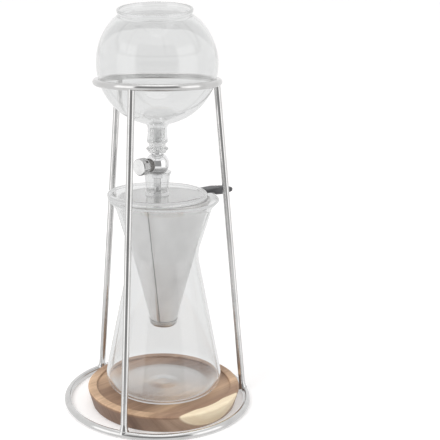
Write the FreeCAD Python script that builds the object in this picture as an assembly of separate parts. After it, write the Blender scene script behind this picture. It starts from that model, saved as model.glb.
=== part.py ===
"""Cold drip coffee tower.

A welded wire stand carries a glass water globe with a needle tap in its neck. Under the
tap stands the brewing set: a wood base, an hourglass carafe, a cone filter that hangs in
the carafe's mouth, and a clear lid whose cup guides the drip tube.

Millimetres, +Z up. The origin is on the table, on the axis of the stand's two rings;
-Y is the front and +X is the right-hand side. Azimuths are counted in degrees from the
front towards the right-hand side.
"""

import math
import os

import FreeCAD
import Part
from FreeCAD import Placement, Rotation, Vector

# ---------------------------------------------------------------- clearances
REST_GAP = 0.2          # between pieces that rest on each other and can be lifted apart
FIT_GAP = 0.05          # radial play of a shaft that turns or slides in its hole
PRESS_GAP = 0.02        # between pieces that are pushed or welded together for good

# ---------------------------------------------------------------- small roundings
FINE_ROUND = 0.3
SMALL_ROUND = 0.5
SOFT_ROUND = 0.8

CUT_OVER = 1.0          # how far a cut runs past the faces that it opens

# ---------------------------------------------------------------- wire stand
WIRE_D = 6.0
RING_TO_BASE = 3.05     # from the wood base's edge to the base ring, on the side where they are closest
RING_UNDER_GLOBE = 18.95  # degrees below the globe's middle where the top ring carries it
LEG_AZIMUTHS = {        # of the foot and of the head
    "front_leg": (-20.4, -23.6), "right_leg": (98.6, 99.4), "rear_leg": (-137.4, -137.6)}
LEG_FOOT_INSET = 1.5    # the leg lands this far inside the middle of the base ring's wire
LEG_HEAD_INSET = 0.5    # the leg ends this far inside the middle of the top ring's wire
WELD_FLARE_R = 4.7      # weld metal where the leg meets the base ring
WELD_FLARE_H = 8.5
WELD_HOLLOW_R = 3.5     # the weld's hollow side, part of the way up
WELD_HOLLOW_H = 3.8
LEG_HEAD_BELOW = 2.6    # the leg's rounded head sits this far under the top ring's middle

# ---------------------------------------------------------------- water globe
GLOBE_R = 54.0
GLASS_WALL = 1.9
SHOULDER_R = 25.0       # tighter curve between the sphere and the mouth
SHOULDER_START = 48.0   # degrees from the mouth axis
MOUTH_LEAN = 10.0       # degrees that the mouth leans towards its azimuth
MOUTH_AZIMUTH = -22.0
LIP_BEAD_R = 1.7
LIP_BEAD_RING_R = 31.5
LIP_BEAD_STEP = 0.16    # straight stretch between the shoulder and the bead
NECK_R = 8.6
NECK_BLEND_R = 5.0
NECK_L = 18.6           # from the sphere's foot to the neck's end
NECK_LIP_R = 9.3
NECK_LIP_H = 3.0
NECK_TAPER_H = 5.0
NECK_LIP_ROUND = 1.2

# ---------------------------------------------------------------- neck stopper
STOPPER_DEPTH = 13.6    # inside the neck
STOPPER_SLACK = 0.25    # the plug's top end is this much slimmer than its mouth end
STOPPER_SHANK_R = 7.35
STOPPER_SHANK_H = 4.4
STOPPER_FLANGE_R = 9.75
STOPPER_FLANGE_H = 2.3
STOPPER_SKIRT_R = 8.0
STOPPER_SKIRT_H = 2.2
STOPPER_SKIRT_FLARE = 0.4

# ---------------------------------------------------------------- needle tap
BALL_R = 10.8
BALL_UNDER_STOPPER = 0.34
STEM_AZIMUTH = -43.0
SPIGOT_R = 3.6
SPIGOT_PROUD = 2.0      # above the stopper
SPIGOT_COLLAR_R = 5.2
INLET_BORE_R = 1.6
ORIFICE_R = 0.9
SEAT_AT = 2.6           # the seat insert's mouth, from the ball's middle along the stem axis
SEAT_INSERT_R = 2.2
SEAT_INSERT_L = 1.6
SEAT_CONE_DEPTH = 0.9
SEAT_CONE_R = 1.8
CHAMBER_R = 2.5
CHAMBER_L = 2.6
STEM_BORE_R = 3.0
OUTLET_COLLAR_R = 5.0
OUTLET_COLLAR_H = 1.8
OUTLET_SOCKET_H = 7.0
OUTLET_FROM_SEAT = 1.8  # where the outlet way leaves the chamber
BOSS_R = 4.4
BOSS_IN_NUT = 2.3       # how far the boss reaches into the bonnet nut
TUBE_R = 3.3
TUBE_BORE_R = 1.9
TUBE_BELOW_LID = 8.6    # the tube ends this far under the lid's rim

# ---------------------------------------------------------------- bonnet nut, stem and knob
NUT_R = 6.1
NUT_STANDOFF = 1.0      # between the ball's surface and the nut
NUT_OVER_CUP = 0.74     # between the nut and the top of the lid's cup
NUT_L = 5.0
NUT_END_WALL = 1.1
NUT_GROOVE_COUNT = 20
WASHER_T = 1.5
SHAFT_R = 1.9
NEEDLE_TIP_R = 0.5
NEEDLE_ROOT_R = 1.6
NEEDLE_L = 1.8
THREAD_STANDOFF = 0.3   # between the chamber's end and the closed thread
THREAD_L = 2.4
JOURNAL_L = 2.2
O_RING_SECTION_R = 0.6
KNOB_R = 7.6
KNOB_L = 8.3
KNOB_FACE_WALL = 2.0
KNOB_STANDOFF = 0.8     # between the bonnet nut and the closed knob
KNOB_CHAMFER = 0.7
KNOB_GROOVE_COUNT = 32
KNURL_DEPTH = 0.4
GROOVE_SHARE = 0.84     # of the knurl's pitch, the rest is its flat crest
SET_SCREW_AT = 3.3      # from the knob's back
SET_SCREW_R = 1.4
SET_SCREW_L = 4.6

# ---------------------------------------------------------------- brewing set
SET_X = 6.0             # axis of base, carafe and filter, beside the stand's axis
SET_Y = -3.5

BASE_T = 17.0
BASE_SEAT_ROOM = 6.4    # the seat's edge stands this far outside the carafe's foot cone
BASE_RIM_W = 9.0
BASE_DRAW_IN = 4.8      # the foot's radius is this much less than the top's
BASE_EDGE_ROUND = 1.6
BASE_RECESS_DEPTH = 2.0

CARAFE_WALL = 2.2
CARAFE_FOOT_R = 57.1    # where the cone would meet the floor
CARAFE_HEEL_ROUND = 13.5
CARAFE_WAIST_R = 31.0   # where the two cones would meet
CARAFE_WAIST_H = 131.0
CARAFE_WAIST_ROUND = 35.0
CARAFE_UPPER_ANGLE = 16.59  # degrees that the upper cone opens on each side
CARAFE_UPPER_H = 43.3   # from the waist's corner to the throat's
CARAFE_THROAT_ROUND = 9.0
CARAFE_LIP_W = 5.5
CARAFE_LIP_RISE = 6.1
CARAFE_PUNT_R = 24.0    # the raised middle of the foot
CARAFE_PUNT_H = 1.4
CARAFE_PUNT_SLOPE_W = 8.0
CARAFE_PUNT_ROUND = 6.0

# ---------------------------------------------------------------- cone filter
CONE_RELIEF = 2.44      # degrees that the filter cone is steeper than the carafe's upper cone
CONE_H = 117.4          # from the tip to the underside of the rim
CONE_SHEET = 0.6
INNER_SHEET = 0.5
SHEET_SPACING = 0.12
SEAM_AZIMUTH = -22.0
SEAM_W = 2.4
SEAM_T = 0.35
SEAM_END_GAP = 0.2      # between the lap seam and the cap or the rim
RIM_LEG_T = 1.2         # rolled rim, outside the cone
RIM_WEB_T = 0.9         # rolled rim, over the sheets' edges
RIM_H = 2.6
RIM_ROUND = 0.55
CAP_WALL = 0.8
CAP_H = 5.2
CAP_ROUND = 3.0

HANDLE_AZIMUTH = 121.0
TAB_W = 10.0
TAB_T = 1.2
TAB_L = 20.8
TAB_END_COVER = 6.6     # how far the sleeve reaches past the tab
TAB_FOOT_H = 1.3        # the foot that is welded to the rim's side
TAB_RISE = 2.4          # from the rim's top to the strip's top
TAB_STANDOFF = 0.4      # between the rim's side and the upright of the tab
SLEEVE_STANDOFF = 0.6
SLEEVE_W = 13.0
SLEEVE_ROOT_T = 3.6
SLEEVE_MID_T = 7.0
SLEEVE_TIP_T = 3.8
SLEEVE_BELLY = 2.7      # the middle hangs this far under the root, outside the carafe's lip
SLEEVE_TIP_DROP = 1.9   # the tip's underside under the root's
SLEEVE_LIP_ROOM = 1.0   # between the carafe's lip and the start of the belly
SLEEVE_TIP_ROUND = 3.9
SLEEVE_EDGE_ROUND = 1.5
SLEEVE_RIDGE_FROM = 2.5  # first groove, out from the sleeve's middle
SLEEVE_RIDGE_COUNT = 2
SLEEVE_RIDGE_PITCH = 3.2
SLEEVE_RIDGE_R = 1.1
SLEEVE_RIDGE_RISE = 0.3  # the groove cutter's middle above the sleeve's top

# ---------------------------------------------------------------- drip lid
LID_OVER_RIM = 3.4      # the lid's radius is this much more than the filter rim's
LID_RIM_W = 3.0
LID_RIM_H = 4.4
LID_PLATE_UNDER = 1.4   # the plate's underside above the rim's
LID_PLATE_T = 1.6
LID_EDGE_ROUND = 1.2
CUP_FOOT_R = 10.1
CUP_TOP_R = 11.6
CUP_FLARE_R = 13.0
CUP_H = 20.6            # above the plate
CUP_FLARE_H = 2.8
CUP_WALL = 1.5
CUP_FLOOR_T = 1.0       # thicker than the plate by this much
CUP_RING_W = 0.9
CUP_RING_H = 2.0
CUP_SIDE_ROUND = 3.0
LID_SLOPE_W = 0.8
TUBE_HOLE_GAP = 0.8

# ---------------------------------------------------------------- worked out from the sizes above
WIRE_R = WIRE_D / 2
UP = Vector(0, 0, 1)
ORIGIN = Vector(0, 0, 0)

# From the table up to the lid.
BASE_SEAT_Z = BASE_T - BASE_RECESS_DEPTH
BASE_RECESS_R = CARAFE_FOOT_R + BASE_SEAT_ROOM
BASE_TOP_R = BASE_RECESS_R + BASE_RIM_W
BASE_FOOT_R = BASE_TOP_R - BASE_DRAW_IN
CARAFE_Z = BASE_SEAT_Z + REST_GAP
CARAFE_THROAT_R = CARAFE_WAIST_R + CARAFE_UPPER_H * math.tan(math.radians(CARAFE_UPPER_ANGLE))
CARAFE_THROAT_H = CARAFE_WAIST_H + CARAFE_UPPER_H
CARAFE_OUTSIDE = [
    (0, CARAFE_PUNT_H, 0), (CARAFE_PUNT_R, CARAFE_PUNT_H, CARAFE_PUNT_ROUND),
    (CARAFE_PUNT_R + CARAFE_PUNT_SLOPE_W, 0, CARAFE_PUNT_ROUND),
    (CARAFE_FOOT_R, 0, CARAFE_HEEL_ROUND),
    (CARAFE_WAIST_R, CARAFE_WAIST_H, CARAFE_WAIST_ROUND),
    (CARAFE_THROAT_R, CARAFE_THROAT_H, CARAFE_THROAT_ROUND),
    (CARAFE_THROAT_R + CARAFE_LIP_W, CARAFE_THROAT_H + CARAFE_LIP_RISE, 0)]
LIP_LEAN = math.atan2(CARAFE_LIP_W, CARAFE_LIP_RISE)
LIP_REACH = CARAFE_THROAT_R + CARAFE_LIP_W + CARAFE_WALL / 2 * (1 - math.cos(LIP_LEAN))
CARAFE_TOP_Z = (CARAFE_Z + CARAFE_THROAT_H + CARAFE_LIP_RISE
                + CARAFE_WALL / 2 * (1 + math.sin(LIP_LEAN)))
RIM_TOP_Z = CARAFE_TOP_Z
RIM_Z = RIM_TOP_Z - RIM_H
CONE_TIP_Z = RIM_Z - CONE_H
CONE_SLOPE = math.tan(math.radians(CARAFE_UPPER_ANGLE - CONE_RELIEF))
SLEEVE_L = TAB_STANDOFF + TAB_L + TAB_END_COVER - SLEEVE_STANDOFF
LID_Z = CARAFE_TOP_Z + REST_GAP
LID_PLATE_Z = LID_Z + LID_PLATE_UNDER
CUP_TOP_Z = LID_PLATE_Z + LID_PLATE_T + CUP_H

# From the lid up through the tap to the globe.
TAP_Z = CUP_TOP_Z + NUT_OVER_CUP + NUT_R
SPIGOT_HOLE_R = SPIGOT_R + FIT_GAP
STOPPER_END_Z = TAP_Z + math.sqrt(BALL_R ** 2 - SPIGOT_HOLE_R ** 2) + BALL_UNDER_STOPPER
STOPPER_FLANGE_Z = STOPPER_END_Z + STOPPER_SKIRT_H + STOPPER_FLANGE_H
NECK_END_Z = STOPPER_FLANGE_Z + STOPPER_SHANK_H
NECK_BORE_R = NECK_R - GLASS_WALL
STOPPER_TOP_Z = NECK_END_Z + STOPPER_DEPTH
SPIGOT_TOP_Z = STOPPER_TOP_Z + SPIGOT_PROUD
GLOBE_Z = NECK_END_Z + NECK_L + GLOBE_R
SHOULDER_SPOKE = Vector(math.sin(math.radians(SHOULDER_START)), 0, math.cos(math.radians(SHOULDER_START)))
SHOULDER_CENTRE = SHOULDER_SPOKE * (GLOBE_R - SHOULDER_R)
LIP_BEAD_H = (SHOULDER_CENTRE.z + math.sqrt(SHOULDER_R ** 2 - (LIP_BEAD_RING_R - SHOULDER_CENTRE.x) ** 2)
              + LIP_BEAD_STEP + LIP_BEAD_R)
BALL_FOOT_Z = TAP_Z - BALL_R
OUTLET_FOOT_Z = BALL_FOOT_Z - OUTLET_COLLAR_H
SOCKET_TOP_Z = OUTLET_FOOT_Z + OUTLET_SOCKET_H
TUBE_END_Z = LID_Z - TUBE_BELOW_LID
NUT_START = math.sqrt(BALL_R ** 2 - NUT_R ** 2) + NUT_STANDOFF
BOSS_END = NUT_START + BOSS_IN_NUT
NUT_END = NUT_START + NUT_L
KNOB_BACK = NUT_END + KNOB_STANDOFF
KNOB_FACE = KNOB_BACK + KNOB_L

# The stand goes round what it holds.
BASE_RING_Z = WIRE_R
BASE_RING_R = math.hypot(SET_X, SET_Y) + BASE_TOP_R + RING_TO_BASE + WIRE_R
RING_REACH = GLOBE_R + WIRE_R + REST_GAP
TOP_RING_R = RING_REACH * math.cos(math.radians(RING_UNDER_GLOBE))
TOP_RING_Z = GLOBE_Z - RING_REACH * math.sin(math.radians(RING_UNDER_GLOBE))


# ---------------------------------------------------------------- shape helpers
def outward(azimuth):
    """Level unit vector that points away from the axis at an azimuth."""
    angle = math.radians(azimuth)
    return Vector(math.sin(angle), -math.cos(angle), 0)


def rounded_chain(corners):
    """Edges of an open chain of lines in the radius-height plane, with rounded corners.

    Each corner is (radius, height, rounding). The rounding of the two ends is not used.
    """
    points = [Vector(radius, 0, height) for radius, height, _ in corners]
    edges = []
    start = points[0]
    for index in range(1, len(points) - 1):
        here = points[index]
        rounding = corners[index][2]
        if rounding == 0:
            edges.append(Part.makeLine(start, here))
            start = here
            continue
        back = (points[index - 1] - here).normalize()
        ahead = (points[index + 1] - here).normalize()
        half_angle = back.getAngle(ahead) / 2
        setback = rounding / math.tan(half_angle)
        middle = here + (back + ahead).normalize() * (rounding / math.sin(half_angle) - rounding)
        arc_end = here + ahead * setback
        edges.append(Part.makeLine(start, here + back * setback))
        edges.append(Part.Arc(here + back * setback, middle, arc_end).toShape())
        start = arc_end
    edges.append(Part.makeLine(start, points[-1]))
    return edges


def offset_chain(corners, distance):
    """The same chain, moved to the left of its direction, with concentric roundings."""
    directions = []
    for (r0, z0, _), (r1, z1, _) in zip(corners, corners[1:]):
        length = math.hypot(r1 - r0, z1 - z0)
        directions.append(((r1 - r0) / length, (z1 - z0) / length))
    moved = []
    last = len(corners) - 1
    for index, (radius, height, rounding) in enumerate(corners):
        before = directions[max(index - 1, 0)]
        after = directions[min(index, last - 1)]
        share = distance / (1 + before[0] * after[0] + before[1] * after[1])
        new_radius = radius - (before[1] + after[1]) * share
        new_height = height + (before[0] + after[0]) * share
        turns_left = before[0] * after[1] - before[1] * after[0] > 0
        if rounding:
            rounding += -distance if turns_left else distance
        moved.append((new_radius, new_height, rounding))
    return moved


def rounding_centre(corners, index):
    """Middle of the arc that rounds one corner of a chain."""
    here = Vector(corners[index][0], 0, corners[index][1])
    back = (Vector(corners[index - 1][0], 0, corners[index - 1][1]) - here).normalize()
    ahead = (Vector(corners[index + 1][0], 0, corners[index + 1][1]) - here).normalize()
    half_angle = back.getAngle(ahead) / 2
    return here + (back + ahead).normalize() * (corners[index][2] / math.sin(half_angle))


def turned(edges):
    """Solid of revolution about Z of a closed set of edges."""
    wire = Part.Wire(Part.__sortEdges__(edges))
    return Part.Face(wire).revolve(ORIGIN, UP, 360)


def turned_loop(corners):
    """Solid of revolution of a closed outline with rounded corners."""
    first, last = corners[0], corners[-1]
    middle = ((first[0] + last[0]) / 2, (first[1] + last[1]) / 2, 0)
    return turned(rounded_chain([middle] + corners + [middle]))


def turned_shell(corners, wall):
    """Turned vessel wall: the chain is its outside, from the axis at the foot to the lip."""
    inner_corners = offset_chain(corners, wall)
    outer = rounded_chain(corners)
    inner = rounded_chain(inner_corners)
    outer_lip = Vector(corners[-1][0], 0, corners[-1][1])
    inner_lip = Vector(inner_corners[-1][0], 0, inner_corners[-1][1])
    before_lip = Vector(corners[-2][0], 0, corners[-2][1])
    onward = (outer_lip - before_lip).normalize()
    lip = Part.Arc(outer_lip, (outer_lip + inner_lip) / 2 + onward * (wall / 2), inner_lip)
    outer_foot = Vector(corners[0][0], 0, corners[0][1])
    inner_foot = Vector(inner_corners[0][0], 0, inner_corners[0][1])
    return turned(outer + [lip.toShape()] + inner + [Part.makeLine(outer_foot, inner_foot)])


def knurled(blank, count, radius, start, length):
    """Cut straight V grooves round a turned blank whose axis is Z."""
    outside = radius + KNURL_DEPTH
    half_width = 2 * math.pi * radius / count * GROOVE_SHARE / 2
    corners = [Vector(radius - KNURL_DEPTH, 0, start),
               Vector(outside, -half_width, start),
               Vector(outside, half_width, start)]
    groove = Part.Face(Part.makePolygon(corners + corners[:1])).extrude(UP * length)
    grooves = []
    for index in range(count):
        turned_groove = groove.copy()
        turned_groove.rotate(ORIGIN, UP, 360.0 * index / count)
        grooves.append(turned_groove)
    return blank.cut(grooves)


def along_stem(shape):
    """Lay a piece that is drawn along Z onto the tap's stem axis, Z = 0 at the ball's middle."""
    placed = shape.copy()
    placed.Placement = Placement(Vector(0, 0, TAP_Z), Rotation(UP, outward(STEM_AZIMUTH)))
    return placed


def along_mouth(shape):
    """Lean a piece that is drawn round Z about the globe's centre, onto the mouth's axis."""
    side = UP.cross(outward(MOUTH_AZIMUTH))
    placed = shape.copy()
    placed.Placement = Placement(Vector(0, 0, GLOBE_Z), Rotation(side, MOUTH_LEAN))
    return placed


def on_set_axis(shape):
    """Move a piece that is drawn round Z onto the brewing set's axis."""
    return shape.translated(Vector(SET_X, SET_Y, 0))


def cylinder(radius, start, end):
    """Cylinder round Z between two heights."""
    return Part.makeCylinder(radius, end - start, Vector(0, 0, start))


# ---------------------------------------------------------------- wire stand
def ring(ring_r, height):
    """Closed wire ring."""
    return Part.makeTorus(ring_r, WIRE_R, Vector(0, 0, height))


def leg(foot_azimuth, head_azimuth, rings):
    """Straight wire leg: weld flare at the foot, rounded head, both ends coped to the rings."""
    foot = outward(foot_azimuth) * (BASE_RING_R - LEG_FOOT_INSET) + UP * BASE_RING_Z
    head = outward(head_azimuth) * (TOP_RING_R - LEG_HEAD_INSET) + UP * (TOP_RING_Z - LEG_HEAD_BELOW)
    run = head - foot
    rod = Part.makeCylinder(WIRE_R, run.Length)
    flare_arc = Part.Arc(Vector(WELD_FLARE_R, 0, WIRE_R / 2),
                         Vector(WELD_HOLLOW_R, 0, WELD_HOLLOW_H),
                         Vector(WIRE_R, 0, WELD_FLARE_H))
    flare = turned([flare_arc.toShape(),
                    Part.makeLine(Vector(WIRE_R, 0, WELD_FLARE_H), Vector(0, 0, WELD_FLARE_H)),
                    Part.makeLine(Vector(0, 0, WELD_FLARE_H), ORIGIN),
                    Part.makeLine(ORIGIN, Vector(WELD_FLARE_R, 0, 0)),
                    Part.makeLine(Vector(WELD_FLARE_R, 0, 0), Vector(WELD_FLARE_R, 0, WIRE_R / 2))])
    blank = rod.fuse([flare, Part.makeSphere(WIRE_R, Vector(0, 0, run.Length))])
    blank.Placement = Placement(foot, Rotation(UP, run))
    return blank.cut(rings)


def make_stand():
    """The two rings and three legs, welded together."""
    base_ring = ring(BASE_RING_R, BASE_RING_Z)
    top_ring = ring(TOP_RING_R, TOP_RING_Z)
    nodes = {"base_ring": base_ring, "top_ring": top_ring}
    for name, (foot_azimuth, head_azimuth) in LEG_AZIMUTHS.items():
        nodes[name] = leg(foot_azimuth, head_azimuth, [base_ring, top_ring])
    return nodes


# ---------------------------------------------------------------- water globe
def globe_below(inset):
    """Sphere and neck round Z, drawn inset from the outside of the glass."""
    sphere_r = GLOBE_R - inset
    blend_centre = Vector(NECK_R + NECK_BLEND_R, 0, 0)
    blend_centre.z = GLOBE_Z - math.sqrt((GLOBE_R + NECK_BLEND_R) ** 2 - blend_centre.x ** 2)
    to_sphere = (Vector(0, 0, GLOBE_Z) - blend_centre).normalize()
    blend_r = NECK_BLEND_R + inset
    on_neck = Vector(NECK_R - inset, 0, blend_centre.z)
    on_sphere = blend_centre + to_sphere * blend_r
    between = blend_centre + (to_sphere + Vector(-1, 0, 0)).normalize() * blend_r
    pole = Vector(0, 0, GLOBE_Z + sphere_r)
    equator = Vector(sphere_r, 0, GLOBE_Z)
    if inset:
        end = NECK_END_Z - NECK_LIP_H
        neck = [(0, end, 0), (on_neck.x, end, 0), (on_neck.x, on_neck.z, 0)]
    else:
        end = NECK_END_Z
        neck = [(0, end, 0), (NECK_LIP_R, end, NECK_LIP_ROUND), (NECK_LIP_R, end + NECK_LIP_H, 0),
                (NECK_R, end + NECK_LIP_H + NECK_TAPER_H, 0), (on_neck.x, on_neck.z, 0)]
    edges = rounded_chain(neck)
    edges.append(Part.Arc(on_neck, between, on_sphere).toShape())
    edges.append(Part.Arc(on_sphere, equator, pole).toShape())
    edges.append(Part.makeLine(pole, Vector(0, 0, end)))
    return turned(edges)


def globe_above(inset):
    """Upper half of the globe, its shoulder and mouth, drawn round Z from the centre up."""
    sphere_r = GLOBE_R - inset
    shoulder_r = SHOULDER_R - inset
    mouth_r = LIP_BEAD_RING_R - LIP_BEAD_R if inset else LIP_BEAD_RING_R
    reach = mouth_r - SHOULDER_CENTRE.x
    shoulder_end = Vector(mouth_r, 0, SHOULDER_CENTRE.z + math.sqrt(shoulder_r ** 2 - reach ** 2))
    half_way = (SHOULDER_SPOKE + (shoulder_end - SHOULDER_CENTRE).normalize()).normalize()
    middle_spoke = (SHOULDER_SPOKE + Vector(1, 0, 0)).normalize()
    equator = Vector(sphere_r, 0, 0)
    edges = [Part.makeLine(ORIGIN, equator),
             Part.Arc(equator, middle_spoke * sphere_r, SHOULDER_SPOKE * sphere_r).toShape(),
             Part.Arc(SHOULDER_SPOKE * sphere_r, SHOULDER_CENTRE + half_way * shoulder_r,
                      shoulder_end).toShape()]
    if inset:
        top = Vector(mouth_r, 0, LIP_BEAD_H + GLOBE_R / 2)
        edges.append(Part.makeLine(shoulder_end, top))
    else:
        bead = Vector(LIP_BEAD_RING_R, 0, LIP_BEAD_H)
        bead_foot = bead - UP * LIP_BEAD_R
        top = bead - Vector(LIP_BEAD_R, 0, 0)
        edges.append(Part.makeLine(shoulder_end, bead_foot))
        edges.append(Part.Arc(bead_foot, bead + Vector(LIP_BEAD_R, 0, 0), bead + UP * LIP_BEAD_R).toShape())
        over = (Vector(-1, 0, 1)).normalize() * LIP_BEAD_R
        edges.append(Part.Arc(bead + UP * LIP_BEAD_R, bead + over, top).toShape())
    edges.append(Part.makeLine(top, Vector(0, 0, top.z)))
    edges.append(Part.makeLine(Vector(0, 0, top.z), ORIGIN))
    return turned(edges)


def globe_solid(inset):
    """Whole globe as a filled solid: the lower half hangs true, the upper half leans."""
    room = 2 * GLOBE_R
    upper_space = along_mouth(cylinder(room, 0, room))
    return globe_below(inset).cut(upper_space).fuse(along_mouth(globe_above(inset)))


def make_globe():
    """Blown glass globe and the silicone stopper in its neck."""
    glass = globe_solid(0).cut(globe_solid(GLASS_WALL)).removeSplitter()
    plug_r = NECK_BORE_R - PRESS_GAP
    hole_r = SPIGOT_HOLE_R
    shank_top = NECK_END_Z - PRESS_GAP
    flange_foot = STOPPER_FLANGE_Z - STOPPER_FLANGE_H
    stopper = turned_loop([
        (hole_r, STOPPER_END_Z, 0),
        (STOPPER_SKIRT_R, STOPPER_END_Z, SMALL_ROUND),
        (STOPPER_SKIRT_R + STOPPER_SKIRT_FLARE, flange_foot, FINE_ROUND),
        (STOPPER_FLANGE_R, flange_foot, SOFT_ROUND),
        (STOPPER_FLANGE_R, STOPPER_FLANGE_Z, SOFT_ROUND),
        (STOPPER_SHANK_R, STOPPER_FLANGE_Z, FINE_ROUND),
        (STOPPER_SHANK_R, shank_top, 0),
        (plug_r, shank_top, 0),
        (plug_r - STOPPER_SLACK, STOPPER_TOP_Z, SOFT_ROUND),
        (hole_r, STOPPER_TOP_Z, 0)])
    return {"water_globe": glass, "neck_stopper": stopper}


# ---------------------------------------------------------------- needle tap
def make_tap():
    """Ball-shaped tap body with its waterways, and the pieces that stay still on it."""
    collar_top = STOPPER_END_Z - PRESS_GAP
    body = Part.makeSphere(BALL_R, Vector(0, 0, TAP_Z))
    collar = cylinder(SPIGOT_COLLAR_R, TAP_Z, collar_top)
    spigot = turned_loop([(0, TAP_Z, 0), (SPIGOT_R, TAP_Z, 0),
                          (SPIGOT_R, SPIGOT_TOP_Z, SMALL_ROUND), (0, SPIGOT_TOP_Z, 0)])
    outlet = turned_loop([(0, OUTLET_FOOT_Z, 0), (OUTLET_COLLAR_R, OUTLET_FOOT_Z, SMALL_ROUND),
                          (OUTLET_COLLAR_R, TAP_Z, 0), (0, TAP_Z, 0)])
    boss = along_stem(cylinder(BOSS_R, 0, BOSS_END))
    body = body.fuse([collar, spigot, outlet, boss])

    inlet = cylinder(INLET_BORE_R, TAP_Z - INLET_BORE_R, SPIGOT_TOP_Z + CUT_OVER)
    seat_pocket = cylinder(SEAT_INSERT_R + PRESS_GAP, SEAT_AT - SEAT_INSERT_L, SEAT_AT)
    orifice = cylinder(ORIFICE_R, 0, SEAT_AT)
    chamber = cylinder(CHAMBER_R, SEAT_AT, SEAT_AT + CHAMBER_L)
    stem_bore = cylinder(STEM_BORE_R, SEAT_AT + CHAMBER_L, BOSS_END + CUT_OVER)
    outlet_start = outward(STEM_AZIMUTH) * (SEAT_AT + OUTLET_FROM_SEAT) + UP * (TAP_Z - CHAMBER_R / 2)
    outlet_end = outward(STEM_AZIMUTH) * (TUBE_BORE_R - ORIFICE_R) + UP * (SOCKET_TOP_Z - PRESS_GAP)
    outlet_run = outlet_end - outlet_start
    outlet_way = Part.makeCylinder(ORIFICE_R, outlet_run.Length, outlet_start, outlet_run)
    socket = cylinder(TUBE_R + PRESS_GAP, OUTLET_FOOT_Z - CUT_OVER, SOCKET_TOP_Z)
    stem_cuts = [along_stem(cut) for cut in (seat_pocket, orifice, chamber, stem_bore)]
    body = body.cut([inlet, outlet_way, socket] + stem_cuts).removeSplitter()

    insert_back = SEAT_AT - SEAT_INSERT_L + PRESS_GAP
    seat_insert = turned_loop([
        (ORIFICE_R, insert_back, 0), (SEAT_INSERT_R, insert_back, 0), (SEAT_INSERT_R, SEAT_AT, 0),
        (SEAT_CONE_R, SEAT_AT, 0), (ORIFICE_R, SEAT_AT - SEAT_CONE_DEPTH, 0)])
    inlet_clear = Part.makeCylinder(INLET_BORE_R, 4 * INLET_BORE_R, Vector(0, 0, TAP_Z - INLET_BORE_R))
    seat_insert = along_stem(seat_insert).cut(inlet_clear)

    drip_tube = turned_loop([
        (TUBE_BORE_R, TUBE_END_Z, 0), (TUBE_R, TUBE_END_Z, SMALL_ROUND),
        (TUBE_R, SOCKET_TOP_Z - PRESS_GAP, 0), (TUBE_BORE_R, SOCKET_TOP_Z - PRESS_GAP, 0)])

    washer_start = BOSS_END + PRESS_GAP
    nut_hole = SHAFT_R + FIT_GAP
    nut = turned_loop([
        (nut_hole, NUT_END - NUT_END_WALL, 0), (BOSS_R + PRESS_GAP, NUT_END - NUT_END_WALL, 0),
        (BOSS_R + PRESS_GAP, NUT_START, 0), (NUT_R, NUT_START, FINE_ROUND),
        (NUT_R, NUT_END, SMALL_ROUND), (nut_hole, NUT_END, 0)])
    nut = knurled(nut, NUT_GROOVE_COUNT, NUT_R, NUT_START - CUT_OVER, NUT_L + 2 * CUT_OVER)
    washer = turned_loop([
        (nut_hole, washer_start, 0), (BOSS_R - PRESS_GAP, washer_start, 0),
        (BOSS_R - PRESS_GAP, washer_start + WASHER_T, 0), (nut_hole, washer_start + WASHER_T, 0)])
    return {"valve_body": body, "seat_insert": seat_insert, "drip_tube": drip_tube,
            "bonnet_nut": along_stem(nut), "gland_washer": along_stem(washer)}


def make_stem():
    """Needle stem with its screwed part and sealing ring, shut against the seat."""
    needle_slope = (NEEDLE_ROOT_R - NEEDLE_TIP_R) / NEEDLE_L
    in_orifice = (ORIFICE_R - FIT_GAP - NEEDLE_TIP_R) / needle_slope
    tip = SEAT_AT - SEAT_CONE_DEPTH - in_orifice
    root = tip + NEEDLE_L
    thread_start = SEAT_AT + CHAMBER_L + THREAD_STANDOFF
    thread_end = thread_start + THREAD_L
    journal_end = thread_end + JOURNAL_L
    journal_r = STEM_BORE_R - FIT_GAP
    groove_r = journal_r - 2 * O_RING_SECTION_R
    groove_start = (thread_end + journal_end) / 2 - O_RING_SECTION_R - PRESS_GAP
    groove_end = groove_start + 2 * (O_RING_SECTION_R + PRESS_GAP)
    shaft_end = KNOB_FACE - KNOB_FACE_WALL - PRESS_GAP
    stem = turned_loop([
        (0, tip, 0), (NEEDLE_TIP_R, tip, 0), (NEEDLE_ROOT_R, root, 0),
        (NEEDLE_ROOT_R, thread_start, 0), (journal_r, thread_start, 0),
        (journal_r, groove_start, 0), (groove_r, groove_start, 0),
        (groove_r, groove_end, 0), (journal_r, groove_end, 0),
        (journal_r, journal_end, 0), (SHAFT_R, journal_end, 0),
        (SHAFT_R, shaft_end, FINE_ROUND), (0, shaft_end, 0)])
    ring_r = journal_r - O_RING_SECTION_R
    o_ring = Part.makeTorus(ring_r + PRESS_GAP, O_RING_SECTION_R - PRESS_GAP,
                            Vector(0, 0, (groove_start + groove_end) / 2))
    return {"needle_stem": along_stem(stem), "stem_o_ring": along_stem(o_ring)}


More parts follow.
